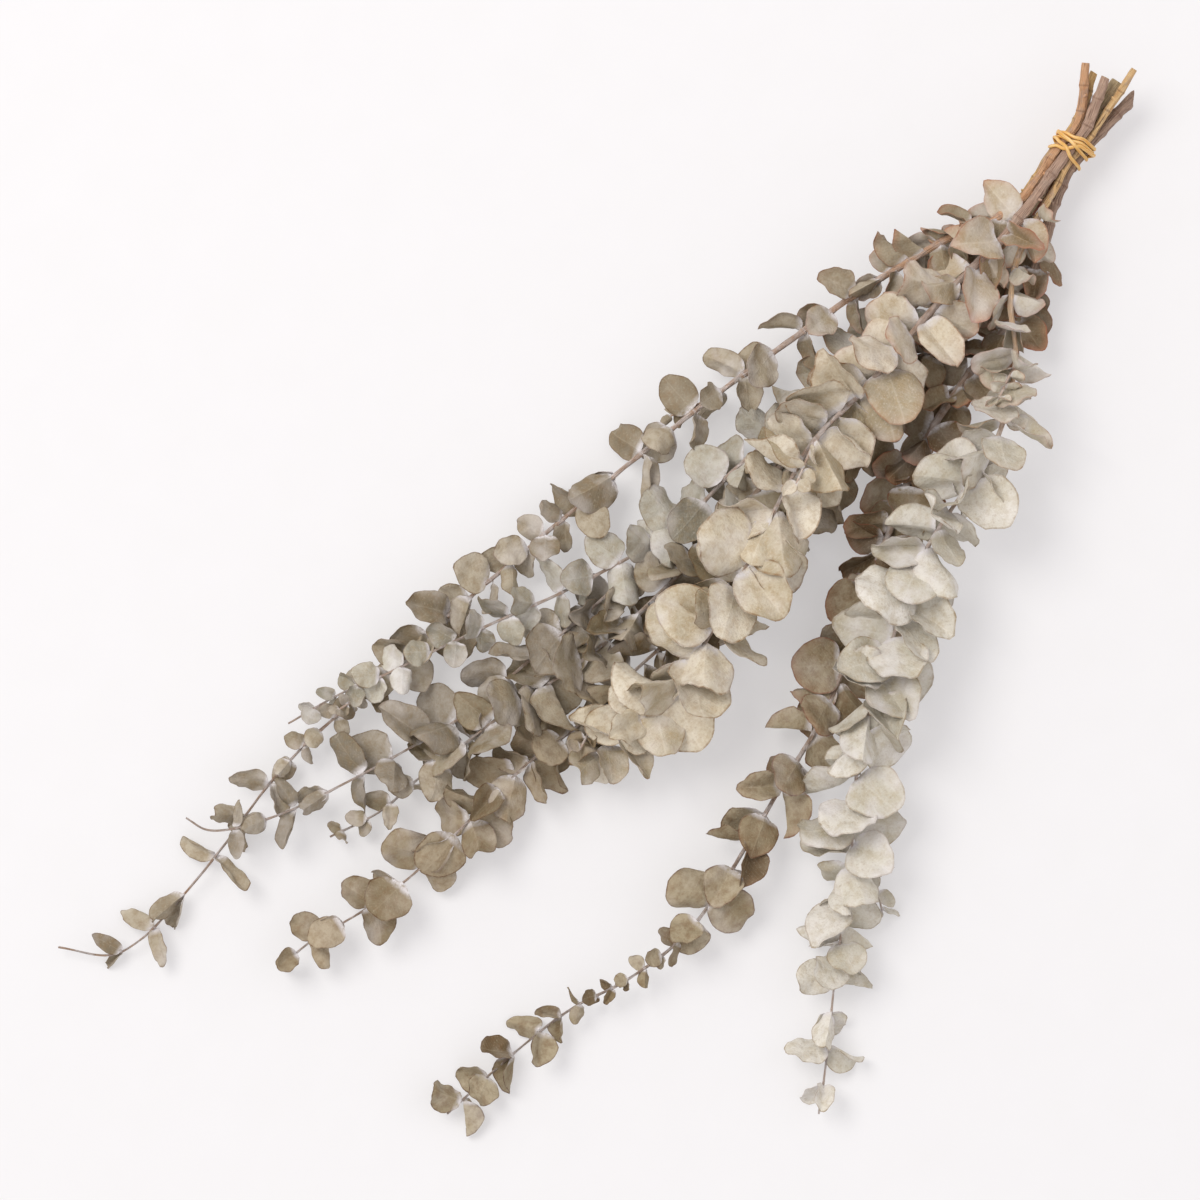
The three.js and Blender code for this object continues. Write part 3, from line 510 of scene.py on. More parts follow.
def bark_of(name, old, old_light, young):
    """Dried eucalyptus bark: dull, streaked lengthways, darker and scaly at the cut end, and thin, pinkish
    and dusted with white wax towards the tip. Its leaf rings are dark on the old part and pale on the
    young part."""
    material, tree, shader = new_material(name)
    bark = add(tree, "Attribute", out="Vector", attribute_name="bark")
    far_along, _, at_ring = add(tree, "SeparateXYZ", {0: bark}, out=None)
    place = add(tree, "TexCoord", out="Object")
    # streaks 9 mm long and 0.5 mm wide
    streak_place = add(tree, "VectorMath", {0: bark, 1: (0.11, 2.0, 0.0)}, operation="MULTIPLY")
    streak = add(tree, "TexNoise", {"Vector": streak_place, "Scale": 1.0, "Detail": 3.0})
    streaked = add(tree, "MapRange", {"Value": streak, "From Min": 0.35, "From Max": 0.65})
    # dark cracks 12 mm long, between the streaks
    crack_place = add(tree, "VectorMath", {0: bark, 1: (0.08, 1.3, 0.0)}, operation="MULTIPLY")
    cracks = add(tree, "TexNoise", {"Vector": crack_place, "Scale": 1.0, "Detail": 4.0})
    cracked = add(tree, "MapRange", {"Value": cracks, "From Min": 0.42, "From Max": 0.34, "To Max": 0.75})
    # scaly patches about 5 mm across, and wax dust in the same patches on the young part
    patch = add(tree, "TexNoise", {"Vector": place, "Scale": 210.0, "Detail": 4.0})
    scaly = add(tree, "MapRange", {"Value": patch, "From Min": 0.54, "From Max": 0.7, "To Max": 0.7})
    youth = add(tree, "MapRange", {"Value": far_along, "From Min": 70.0, "From Max": 240.0})
    dusty = add(tree, "MapRange", {"Value": patch, "From Min": 0.42, "From Max": 0.62, "To Max": 0.75})
    dusted = add(tree, "Math", {0: dusty, 1: youth}, operation="MULTIPLY")
    ringed = add(tree, "MapRange", {"Value": at_ring, "From Min": 0.6, "From Max": 0.98, "To Max": 0.6})
    young_bark = add(tree, "Mix", {0: streaked, 6: young, 7: "#cdb7a6"}, out=2, data_type="RGBA")
    ring_colour = add(tree, "Mix", {0: youth, 6: "#6d4c39", 7: "#e2dcdc"}, out=2, data_type="RGBA")
    colour = old
    for share, over in (
        (streaked, old_light), (cracked, "#5d4132"), (scaly, "#b09a8a"), (youth, young_bark),
        (dusted, "#dad2ce"), (ringed, ring_colour),
    ):
        colour = add(tree, "Mix", {0: share, 6: colour, 7: over}, out=2, data_type="RGBA")
    height = add(tree, "Math", {0: streak, 1: patch}, operation="ADD")
    bump = add(tree, "Bump", {"Height": height, "Strength": 1.0, "Distance": 0.0013})
    put_in(tree, shader, {"Base Color": colour, "Roughness": 0.82, "IOR": 1.45, "Normal": bump})
    return material


# Cut wood: pale and fibrous, matt as a saw or shears leave it.
cut_wood, tree, shader = new_material("cut_eucalyptus_wood")
place = add(tree, "TexCoord", out="Object")
# fibres about 1 mm wide, which is coarser than they are, so that they show
fibres = add(tree, "TexNoise", {"Vector": place, "Scale": 900.0, "Detail": 3.0})
wood = add(tree, "Mix", {0: fibres, 6: "#8f6f52", 7: "#c9ab82"}, out=2, data_type="RGBA")
bump = add(tree, "Bump", {"Height": fibres, "Strength": 0.7, "Distance": 0.0004})
put_in(tree, shader, {"Base Color": wood, "Roughness": 0.88, "IOR": 1.5, "Normal": bump})

STUB_SIDES = 7
STUB_RADIUS = 0.75
# share of its length, and width over its radius
STUB_PROFILE = [(0.0, 1.5), (0.35, 1.05), (0.8, 0.9), (1.0, 0.55)]
STUB_DEPTH = 0.6  # of the stem's radius, so that the stub starts inside the stem
STUB_PLACES = [(16, 10), (58, 8), (68, 8)]  # how far along the stem, and how much farther it may be
STUB_BARK = (10.0, 0.0, 0.3)  # what its bark is drawn from: old bark, with no ring


def stub(base, direction, length, radius):
    """What is left of a side twig that has been snapped off"""
    level = unit(np.cross(direction, UP + np.array([0.01, 0.0, 0.0])))
    upright = np.cross(direction, level)
    angle = 2 * np.pi * np.arange(STUB_SIDES) / STUB_SIDES
    points = []
    for share, wide in STUB_PROFILE:
        ragged = 0.25 * length * np.sin(2 * angle) * (share == 1.0)
        ring = ring_of(base, level, upright, angle, radius * wide)
        points.append(ring + np.outer(share * length + ragged, direction))
    points = np.concatenate(points)
    return points, tube_faces(len(STUB_PROFILE), STUB_SIDES), np.tile(STUB_BARK, (len(points), 1))


def stubs_of(branch):
    """The few stubs on the bare end of a stem, on its upper side"""
    draw = draws(branch["seed"] * 409 + 11)
    made = []
    for s in [start + spread * draw() for start, spread in STUB_PLACES]:
        along = branch["line"].along(s)
        level, upright = across(along)
        out = outward(level, upright, 20 + 140 * draw())
        base = branch["line"].at(s) + out * STUB_DEPTH * branch["radius"]
        heading = unit(out - along * 0.7 * draw())
        made.append(stub(base, heading, branch["radius"] * (0.8 + 0.5 * draw()), STUB_RADIUS))
    return made


# old bark, its light streaks, and young bark
BARK_COLOURS = {
    "branch_top": ("#9d7e6d", "#c4a791", "#ad9280"),
    "branch_right_pale": ("#c79b68", "#e4c592", "#b79d8c"),
    "branch_left_long": ("#b78561", "#d8ae86", "#a98366"),
    "branch_left_budded": ("#c09661", "#dab981", "#ad9382"),
    "branch_right_dark": ("#8d7264", "#b59a84", "#9a7f6c"),
    "branch_inner_right": ("#8a5644", "#ae785f", "#9e826e"),
    "branch_inner_middle": ("#9b8565", "#c0ae8a", "#a38b76"),
    "branch_inner_left": ("#957b6c", "#bba292", "#9f8776"),
}
barks = {}
for branch in BRANCHES:
    name = branch["name"]
    short = name.replace("branch_", "")
    barks[name] = bark_of("bark_" + short, *BARK_COLOURS[name])
    stem = stem_mesh(branch)
    points, faces, bark = joined([stem, *stubs_of(branch)])
    ends = len(stem[1])
    finish = [0] * len(faces)
    finish[ends - 2 : ends] = [1, 1]  # the stem's two ends are of cut wood
    make_piece(
        "stem_" + short, points, faces, [barks[name], cut_wood], name,
        {"bark": bark}, sharp=60, finish=finish,
    )

# The leaves: round and oval blades that sit in opposite pairs straight on the stem. They have dried to thin
# leathery sheets, cupped, folded and wavy at the rim, matt from a dust of white wax that is thickest where
# they meet the stem.
BROWNED_OVER = 130  # how far along a stem its first leaves are browner than the rest
DARK_BROWNED_OVER = 330  # the same on the dark branch at the right
# how a leaf grows and dries: turns in degrees, cup and bend in radians, and shares for the rest. A spread is
# how far apart the least and the most are.
GROWTH = dict(
    opening=72, pressed_opening=26, opening_spread=34, rise=0.6, facing=0.3, facing_spread=0.6,
    roll_spread=50, size=0.88, size_spread=0.24, slimness=0.92, slimness_spread=0.16,
    curled_share=0.16, curled_more=1.8, cup=-0.45, cup_spread=1.25, bend=-0.65, bend_spread=1.1,
    wave=0.02, wave_spread=0.05, face_up_spread=0.3,
)
FULLNESS = 1.08
WIDEST = 0.47
OVATE = 0.14
FOLD_ROUND = 0.05  # how soft the crease of a folded leaf is, over half its width
SOLID_THICK = 0.6  # of the leaves in the solids
PRESSED = 0.4  # how far under the table a leaf may reach before it bends up, as a share of its length
LARGE_LEAF = 25  # from this length up a solid leaf has a rim of seven points
LEFT_OUT_LEAF = 11.5  # leaves shorter than this have no solid
BEND_TRIES = 6
BEND_UP = 0.7  # of the depth that is under the table, at each try
TURN_LEVEL = 0.3  # how much more level the blade lies after each try
ROLL_KEPT = 0.6  # how much of its roll it still has after each try
MATCH = 0.02  # how closely a corner of the solid has to lie where a leaf would have it
LARGE_RIM = np.radians([126, 82, 40, 0, -40, -82, -126])
SMALL_RIM = np.radians([116, 54, 0, -54, -116])
# ways to place a leaf, tried in this order: turned, opened and rolled by so many degrees, and made smaller
PLACES = [
    (turn, opening, roll, scale)
    for scale in (1, 0.85, 0.7)
    for roll in (0, 35, -35)
    for turn in (0, 20, -20, 40, -40)
    for opening in (0, -15, 14, -30, 28)
]


def leaf_of(branch, line, radius, pair, side, place):
    """One leaf: where it grows, the directions of its blade, its size and how it has dried"""
    draw = draws(branch["seed"] * 8192 + pair["shoot"] * 1024 + pair["k"] * 2 + side)
    turn, opening, roll, scale = place
    stem = line.along(pair["s"])
    level, upright = across(stem)
    grows = outward(level, upright, pair["turn"] + side * 180)
    base = line.at(pair["s"]) + grows * radius * math.cos(math.pi / 4)
    out = outward(level, upright, pair["turn"] + side * 180 + TURN_SPREAD * (draw() - 0.5) + turn)
    wide = (
        GROWTH["opening"] + branch["open"] + opening
        - GROWTH["pressed_opening"] * abs(out[2]) + GROWTH["opening_spread"] * (draw() - 0.5)
    )
    cosine, sine = math.cos(math.radians(wide)), math.sin(math.radians(wide))
    along = stem * cosine + out * sine
    face = stem * sine - out * cosine
    along = unit(along * np.array([1, 1, GROWTH["rise"]]))
    facing = GROWTH["facing"] + GROWTH["facing_spread"] * draw()
    upward = -1 if face[2] + GROWTH["face_up_spread"] * (draw() - 0.5) < 0 else 1
    face = face * (1 - facing) + UP * upward * facing
    rolled = math.radians(GROWTH["roll_spread"] * (draw() - 0.5) + roll)
    length = pair["length"] * (GROWTH["size"] + GROWTH["size_spread"] * draw()) * scale
    width = length * pair["slim"] * (GROWTH["slimness"] + GROWTH["slimness_spread"] * draw())
    curled = GROWTH["curled_more"] if draw() < GROWTH["curled_share"] else 1
    cup = (GROWTH["cup"] + GROWTH["cup_spread"] * draw()) * curled
    bend = (GROWTH["bend"] + GROWTH["bend_spread"] * draw()) * curled
    wave = length * (GROWTH["wave"] + GROWTH["wave_spread"] * draw())
    waves = 2 if draw() < 0.5 else 3
    start = 2 * math.pi * draw()
    return dict(
        base=base, along=along, face=face, roll=rolled, length=length, width=width, cup=cup, bend=bend,
        wave=wave, waves=waves, start=start, s=pair["s"],
    )


def blade_axes(leaf):
    along = unit(leaf["along"])
    face = unit(leaf["face"] - along * leaf["face"].dot(along))
    cosine, sine = math.cos(leaf["roll"]), math.sin(leaf["roll"])
    face = face * cosine + np.cross(along, face) * sine
    return np.cross(along, face), along, face


def arc(angle, share):
    if abs(angle) < 1e-6:
        return share, share * 0
    return np.sin(angle * share) / angle, (1 - np.cos(angle * share)) / angle


def blade_points(leaf, angle, reach):
    """Points of the blade's middle surface. The angle is 0 at the tip, and the reach is 1 at the rim."""
    side, along, face = blade_axes(leaf)
    cosine, half, length = np.cos(angle), leaf["width"] / 2, leaf["length"]
    x = half * reach * np.sin(angle) * (1 - OVATE * cosine)
    y = length * (WIDEST + reach * cosine * np.where(cosine > 0, 1 - WIDEST, WIDEST))
    flat_x, risen_x = arc(leaf["cup"], x / half)
    fold = leaf.get("fold", 0.0)
    risen_x = risen_x + math.sin(fold) * (np.sqrt(flat_x**2 + FOLD_ROUND**2) - FOLD_ROUND)
    flat_x = flat_x * math.cos(fold) + leaf.get("skew", 0.0) * (y / length) ** 2
    flat_y, risen_y = arc(leaf["bend"], y / length)
    rim = leaf["wave"] * reach**2 * np.sin(leaf["waves"] * angle + leaf["start"]) * (1 + cosine) * 0.5
    rise = half * risen_x + rim
    tilt = leaf["bend"] * y / length
    points = (
        leaf["base"]
        + np.multiply.outer(half * flat_x, side)
        + np.multiply.outer(length * flat_y - rise * np.sin(tilt), along)
        + np.multiply.outer(length * risen_y + rise * np.cos(tilt), face)
    )
    return points, x, y


def rim_points(leaf, rim):
    points, _, _ = blade_points(leaf, np.append(rim, 0.0), np.append(np.ones(len(rim)), 0.0))
    return points


def rest_on_surface(leaf):
    """Bends up a leaf that would pass through the table, until only a little of it is pressed flat there"""
    for _ in range(BEND_TRIES):
        lowest = rim_points(leaf, LARGE_RIM)[:, 2].min()
        if lowest >= -PRESSED * leaf["length"]:
            return
        leaf["along"] = unit(leaf["along"] - UP * BEND_UP * lowest / leaf["length"])
        face = unit(leaf["face"])
        leaf["face"] = face + ((UP if face[2] >= 0 else -UP) - face) * TURN_LEVEL
        leaf["roll"] *= ROLL_KEPT


def solid_points(name):
    """The corners of a branch's solid, for finding which of its places each leaf took"""
    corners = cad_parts[name].data.vertices
    known = kdtree.KDTree(len(corners))
    for i, corner in enumerate(corners):
        known.insert(corner.co, i)
    known.balance()
    return known


def gap_to_solid(known, point):
    return known.find(Vector((point - MIDDLE) / 1000))[2] * 1000


def settled(branch, known, line, radius, pair, side):
    """The leaf in the place that its solid has, if it has a solid"""
    for place in PLACES:
        leaf = leaf_of(branch, line, radius, pair, side, place)
        rest_on_surface(leaf)
        points = rim_points(leaf, LARGE_RIM if leaf["length"] >= LARGE_LEAF else SMALL_RIM)
        points[:, 2] = np.maximum(points[:, 2], SOLID_THICK / 2)
        misses = sum(abs(gap_to_solid(known, p) - SOLID_THICK / 2) > MATCH for p in points)
        if misses <= 1:
            return leaf
    return None


NEARBY = 36.0  # farther apart than this, two leaves can't cross
HIGHEST = 70.0  # a leaf without a solid stays under this, so that the bunch grows no higher
FAN = [(k, (k + 1) % len(LARGE_RIM), len(LARGE_RIM)) for k in range(len(LARGE_RIM))]
added = []  # the middle and the shape of each leaf without a solid that has found room


def all_solids():
    corners, faces = [], []
    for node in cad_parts.values():
        start = len(corners)
        corners += [c.co.copy() for c in node.data.vertices]
        faces += [[start + i for i in face.vertices] for face in node.data.polygons]
    return bvhtree.BVHTree.FromPolygons(corners, faces)


def found_room(branch, solids, line, radius, pair, side):
    """A leaf without a solid, in the first place where it crosses no solid and no other such leaf"""
    for place in PLACES:
        leaf = leaf_of(branch, line, radius, pair, side, place)
        rest_on_surface(leaf)
        points = rim_points(leaf, LARGE_RIM)
        middle = points[-1]
        if points[:, 2].max() > HIGHEST:
            continue
        shape = bvhtree.BVHTree.FromPolygons(((points - MIDDLE) / 1000).tolist(), FAN)
        near = [other for place_of, other in added if np.abs(place_of - middle).max() < NEARBY]
        if not any(shape.overlap(other) for other in [solids, *near]):
            added.append((middle, shape))
            return leaf
    return None


def blade_grid(sides, reaches):
    """Angle and reach of each point of a blade, and the faces of its upper side, lower side and rim"""
    angle = np.concatenate([[0.0]] + [2 * np.pi * np.arange(sides) / sides for _ in reaches])
    reach = np.concatenate([[0.0]] + [np.full(sides, r) for r in reaches])
    upper = []
    for k in range(sides):
        after = (k + 1) % sides
        upper.append((0, 1 + after, 1 + k))
        for j in range(len(reaches) - 1):
            inner, outer = 1 + j * sides, 1 + (j + 1) * sides
            upper.append((inner + k, inner + after, outer + after, outer + k))
    count = len(angle)
    lower = [tuple(count + i for i in reversed(face)) for face in upper]
    edge = 1 + (len(reaches) - 1) * sides
    rim = []
    for k in range(sides):
        after = (k + 1) % sides
        rim.append((edge + k, edge + after, count + edge + after, count + edge + k))
    return dict(angle=angle, reach=reach, faces=upper + lower + rim, sides=sides, rings=len(reaches))


LARGE_GRID = blade_grid(32, [0.22, 0.44, 0.64, 0.81, 0.93, 1.0])
SMALL_GRID = blade_grid(20, [0.35, 0.66, 0.9, 1.0])
BLADE_THICK = 0.28
RIM_THINNER = 0.25  # how much thinner the rim is, as a share of the middle
RIM_WAVES = [(3, 0.02), (5, 0.016), (8, 0.01), (13, 0.006)]  # how many round the rim, and how high
NICK_SHARE = 0.72  # of the leaves have no nick in the rim
NICK_DEPTH = 0.10
CREASES = (0.62, 0.42, 0.3)  # from crease to crease of the crumpled surface, over the blade's length
CREASE_HEIGHT = 0.034
ROLLED_WIDTH, ROLL_HEIGHT = 0.4, 0.10  # of the rim that rolls over, and how high
FRILL_WIDTH, FRILL_HEIGHT = 0.45, 0.018
CREASE_SLOPE = 0.16  # of the two halves of a blade towards its midrib
GROOVE_DEPTH, GROOVE_WIDTH = 0.28, 0.8  # of the midrib
OFF_TABLE = 0.02  # the least that a blade is above the table


def grid_normals(points, grid):
    ring = points[1:].reshape(grid["rings"], grid["sides"], 3)
    inward = np.concatenate([np.broadcast_to(points[0], (1, grid["sides"], 3)), ring])
    outwards = np.gradient(inward, axis=0)[1:]
    around = np.roll(ring, -1, axis=1) - np.roll(ring, 1, axis=1)
    normals = unit(np.cross(around, outwards))
    return np.concatenate([unit(normals[0].mean(axis=0, keepdims=True)), normals.reshape(-1, 3)])


FIRST_LEAVES = 175  # up to here along the stems nearly all the leaves have folded
FIRST_FOLDED_SHARE = 0.72
FOLDED_SHARE = 0.42
BENT_UP_TO, CUPPED_UP_TO = 0.64, 0.86  # the rest of the draw: bent along, cupped across, and left as it is
LOW = 9  # a leaf that grows nearer the table than this can only turn up


def shrivelled(leaf, draw):
    """A leaf as its fine shape has it: some have folded along the midrib, some curled across or along it"""
    way, much, lift = draw(), draw(), 1 if leaf["face"][2] > 0 else -1
    turned_up = lift if leaf["base"][2] < LOW or draw() < 0.5 else -lift
    shape = dict(leaf, skew=0.3 * (draw() - 0.5))
    if way < (FOLDED_SHARE if leaf["s"] > FIRST_LEAVES else FIRST_FOLDED_SHARE):
        shape["fold"] = turned_up * math.radians(20 + 42 * much)
    elif way < BENT_UP_TO:
        shape["bend"] = leaf["bend"] + turned_up * (0.25 + 0.5 * much)
    elif way < CUPPED_UP_TO:
        shape["cup"] = leaf["cup"] + turned_up * (0.3 + 0.8 * much)
    return shape


def blade(leaf, seed):
    """A fine blade with a sunken midrib, crumpled surface and uneven, partly rolled rim"""
    draw = draws(seed)
    grid = LARGE_GRID if leaf["length"] > 12 else SMALL_GRID
    angle, reach = grid["angle"], grid["reach"]
    length = leaf["length"]
    leaf = shrivelled(leaf, draw)
    uneven = (0.13 * draw() - 0.04) * np.exp(-((np.minimum(angle, 2 * np.pi - angle) / 0.3) ** 2))
    for waves, height in RIM_WAVES:
        uneven = uneven + height * np.sin(waves * angle + 2 * np.pi * draw())
    nick_at = 2 * np.pi * draw()
    nick = NICK_DEPTH * max(0.0, draw() - NICK_SHARE) / (1 - NICK_SHARE)
    turned = np.abs((angle - nick_at + np.pi) % (2 * np.pi) - np.pi)
    uneven = uneven - nick * np.exp(-((turned / 0.16) ** 2))
    points, x, y = blade_points(leaf, angle, reach * (1 + uneven * reach**3))
    normals = grid_normals(points, grid)
    crumple = 0.0
    for size in CREASES:
        heading = 2 * np.pi * draw()
        crest = (x * math.cos(heading) + y * math.sin(heading)) / (size * length)
        creased = np.arcsin(0.97 * np.sin(2 * np.pi * (crest + draw())))
        crumple = crumple + CREASE_HEIGHT * size * length * creased
    edge = np.clip((reach - 1 + ROLLED_WIDTH) / ROLLED_WIDTH, 0, 1) ** 2
    rolled = length * ROLL_HEIGHT * (draw() - 0.4) * edge
    rolled = rolled * (0.5 + 0.5 * np.sin(angle + 2 * np.pi * draw()))
    edge = np.clip((reach - 1 + FRILL_WIDTH) / FRILL_WIDTH, 0, 1) ** 2
    frill = FRILL_HEIGHT * length * edge * np.sin((5 + int(4 * draw())) * angle + 2 * np.pi * draw())
    fold = CREASE_SLOPE * (draw() - 0.35) * np.abs(x) * np.clip(1.1 - y / length, 0, 1)
    taper = np.clip(1.15 - y / length, 0, 1) * np.clip(y / length * 8, 0, 1)
    groove = -GROOVE_DEPTH * np.exp(-((x / GROOVE_WIDTH) ** 2)) * taper
    points = points + normals * (crumple * reach + rolled + frill + fold + groove)[:, None]
    normals = grid_normals(points, grid)
    half = (BLADE_THICK * (1 - RIM_THINNER * reach) / 2)[:, None]
    points[:, 2] = np.maximum(points[:, 2], half[:, 0] + OFF_TABLE)
    both = np.concatenate([points + normals * half, points - normals * half])
    both[:, 2] = np.maximum(both[:, 2], OFF_TABLE)
    return both, np.tile(x / (leaf["width"] / 2), 2), np.tile(y / length, 2), np.tile(reach, 2), grid


def leaves_mesh(leaves, seed, browned_over=BROWNED_OVER):
    """All the blades of a branch as one mesh, with the values that their colour is drawn from"""
    points, faces, blade_place, growth = [], [], [], []
    start = 0
    for number, leaf in enumerate(leaves):
        draw = draws(seed * 7919 + number)
        corners, x, y, reach, grid = blade(leaf, seed * 104729 + number)
        count = len(corners)
        tone = draw()
        warm = np.clip(1.2 - (leaf["s"] - 80) / browned_over, 0, 1) * (0.4 + 0.6 * draw())
        wax = draw()
        points.append(corners)
        faces += [tuple(start + i for i in face) for face in grid["faces"]]
        blade_place.append(np.column_stack([x, y, reach]))
        growth.append(np.tile([tone, warm, wax], (count, 1)))
        start += count
    return np.concatenate(points), faces, np.concatenate(blade_place), np.concatenate(growth)


def dried_leaf(name, pale, main, deep, blotch, margin, wax_share, tan):
    """A dried eucalyptus leaf: leathery and matt. The wax dust greys it, the tissue under it has browned
    in soft blotches, and the rim and veins have dried darker and thinner than the rest."""
    material, tree, shader = new_material(name)
    on_blade = add(tree, "Attribute", out="Vector", attribute_name="blade")
    across_blade, up_blade, reach = add(tree, "SeparateXYZ", {0: on_blade}, out=None)
    grown = add(tree, "Attribute", out="Vector", attribute_name="growth")
    tone, warm, wax = add(tree, "SeparateXYZ", {0: grown}, out=None)
    place = add(tree, "TexCoord", out="Object")
    # clouds 14 mm across, blotches 5 mm, flecks 1.2 mm
    cloud = add(tree, "TexNoise", {"Vector": place, "Scale": 70.0, "Detail": 3.0})
    blotches = add(tree, "TexNoise", {"Vector": place, "Scale": 210.0, "Detail": 8.0, "Roughness": 0.72})
    flecks = add(tree, "TexNoise", {"Vector": place, "Scale": 850.0, "Detail": 3.0})

    shade = add(tree, "Math", {0: cloud, 1: tone}, operation="ADD")
    light_part = add(tree, "MapRange", {"Value": shade, "From Min": 0.75, "From Max": 1.5})
    dark_part = add(tree, "MapRange", {"Value": shade, "From Min": 0.9, "From Max": 0.45})
    tanned = add(tree, "Math", {0: warm, 1: 0.55}, operation="MULTIPLY")
    browned = add(tree, "MapRange", {"Value": blotches, "From Min": 0.44, "From Max": 0.62, "To Max": 0.5})
    flecked = add(tree, "MapRange", {"Value": flecks, "From Min": 0.57, "From Max": 0.72, "To Max": 0.3})
    grains = add(tree, "MapRange", {"Value": flecks, "From Min": 0.42, "From Max": 0.3, "To Max": 0.35})

    # veins leave the midrib at a slant, about ten a side, and waver
    aside = add(tree, "Math", {0: across_blade}, operation="ABSOLUTE")
    slanting = add(tree, "Math", {0: aside, 1: -0.42, 2: up_blade}, operation="MULTIPLY_ADD")
    wavering = add(tree, "Math", {0: blotches, 1: 0.12, 2: slanting}, operation="MULTIPLY_ADD")
    turns = add(tree, "Math", {0: wavering, 1: 62.0}, operation="MULTIPLY")
    crest = add(tree, "Math", {0: turns}, operation="SINE")
    side_vein = add(tree, "MapRange", {"Value": crest, "From Min": 0.8, "From Max": 1.0, "To Max": 0.13})
    midrib = add(tree, "MapRange", {"Value": aside, "From Min": 0.05, "From Max": 0.01, "To Max": 0.22})
    veins = add(tree, "Math", {0: side_vein, 1: midrib}, operation="MAXIMUM")

    # leaves near the cut ends have flushed red-brown towards the tip
    flush = add(tree, "MapRange", {"Value": reach, "From Min": 0.55, "From Max": 1.0, "To Max": 0.75})
    tipwards = add(tree, "MapRange", {"Value": up_blade, "From Min": 0.3, "From Max": 0.95})
    flush = add(tree, "Math", {0: flush, 1: tipwards}, operation="MULTIPLY")
    flush = add(tree, "Math", {0: flush, 1: warm}, operation="MULTIPLY")

    # the rim, about 0.8 mm wide, stronger in some stretches than others
    rim = add(tree, "MapRange", {"Value": reach, "From Min": 0.935, "From Max": 0.97, "To Max": 0.95})
    stretches = add(tree, "MapRange", {"Value": blotches, "From Min": 0.36, "From Max": 0.62, "To Min": 0.15})
    rim = add(tree, "Math", {0: rim, 1: stretches}, operation="MULTIPLY")
    rim_colour = add(tree, "Mix", {0: warm, 6: margin, 7: "#a8684f"}, out=2, data_type="RGBA")

    # wax dust: patches all over, and solid white where the leaf meets the stem
    patches = add(tree, "MapRange", {"Value": cloud, "From Min": 0.42, "From Max": 0.66, "To Max": wax_share})
    patches = add(tree, "Math", {0: patches, 1: wax}, operation="MULTIPLY")
    at_base = add(tree, "MapRange", {"Value": up_blade, "From Min": 0.19, "From Max": 0.06, "To Max": 0.95})
    broken = add(tree, "MapRange", {"Value": blotches, "From Min": 0.35, "From Max": 0.55})
    at_base = add(tree, "Math", {0: at_base, 1: broken}, operation="MULTIPLY")
    dust = add(tree, "Math", {0: patches, 1: at_base}, operation="MAXIMUM")

    # each colour lies over those before it
    colour = main
    for share, over in (
        (light_part, pale), (dark_part, deep), (tanned, tan), (browned, blotch), (flecked, "#8a6f50"),
        (grains, pale), (veins, pale), (flush, "#b27a5c"), (rim, rim_colour), (dust, "#dcd9da"),
    ):
        colour = add(tree, "Mix", {0: share, 6: colour, 7: over}, out=2, data_type="RGBA")

    dullness = {"From Min": 0.3, "From Max": 0.7, "To Min": 0.66, "To Max": 0.86}
    rough = add(tree, "MapRange", {"Value": blotches, **dullness})
    relief = add(tree, "Math", {0: blotches, 1: 0.6, 2: flecks}, operation="MULTIPLY_ADD")
    relief = add(tree, "Math", {0: veins, 1: 0.9, 2: relief}, operation="MULTIPLY_ADD")
    bump = add(tree, "Bump", {"Height": relief, "Strength": 0.7, "Distance": 0.0005})
    put_in(tree, shader, {"Base Color": colour, "Roughness": rough, "IOR": 1.42, "Normal": bump})
    return material


# pale, main, deep, blotch and margin colours, how much wax dust is left, and the tan of the first leaves
LEAF_COLOURS = {
    "branch_top": ("#e0d8c6", "#ccc2ab", "#aa9e84", "#aa926c", "#8b6e4d", 0.35, "#977f60"),
    "branch_right_pale": ("#dedacf", "#cfcbbd", "#b8b2a1", "#b0a182", "#98866c", 0.6, "#ad9e80"),
    "branch_left_long": ("#b7ad98", "#a09580", "#80745e", "#866f4f", "#6f583f", 0.4, "#857558"),
    "branch_left_budded": ("#c8c5b8", "#aea999", "#8f8978", "#998869", "#82705b", 0.65, "#a09073"),
    "branch_right_dark": ("#b3a78d", "#8f8164", "#6c5b41", "#6f512f", "#5b3f28", 0.2, "#67492f"),
    "branch_inner_right": ("#aea087", "#95876d", "#76674b", "#7a5f3f", "#644a31", 0.3, "#8c7756"),
    "branch_inner_middle": ("#b4a994", "#9c917a", "#7e7258", "#836b49", "#6f583d", 0.35, "#97825f"),
    "branch_inner_left": ("#b1a897", "#978d7e", "#79705e", "#83704f", "#6e5b44", 0.45, "#948363"),
}
# where the leaves crowd so closely that the solids hold only some of them: from and to, along the stem
CROWDED = {
    "branch_top": (80, 440), "branch_right_pale": (150, 470), "branch_right_dark": (90, 330),
    "branch_inner_right": (105, 480), "branch_inner_middle": (100, 420), "branch_left_long": (90, 150),
}
LEAST_GAP = 12.5  # pairs closer than this have none between them
SMALLER = 0.9  # the length of a pair between two others, over the middle of theirs
OWN_NUMBERS = 200  # added to the numbers of such pairs, so that each has draws of its own


def crowded_pairs(branch):
    """The smaller pairs of a crowded stretch: each halfway between two others, in place and in turn"""
    start, end = CROWDED.get(branch["name"], (0, 0))
    made = []
    for lower, upper in zip(branch["pairs"], branch["pairs"][1:]):
        if start < lower["s"] < end and upper["s"] - lower["s"] > LEAST_GAP:
            pair = dict(lower, k=lower["k"] + OWN_NUMBERS)
            for value in ("s", "turn", "length"):
                pair[value] = (lower[value] + upper[value]) / 2
            pair["length"] *= SMALLER
            made.append(pair)
    return made


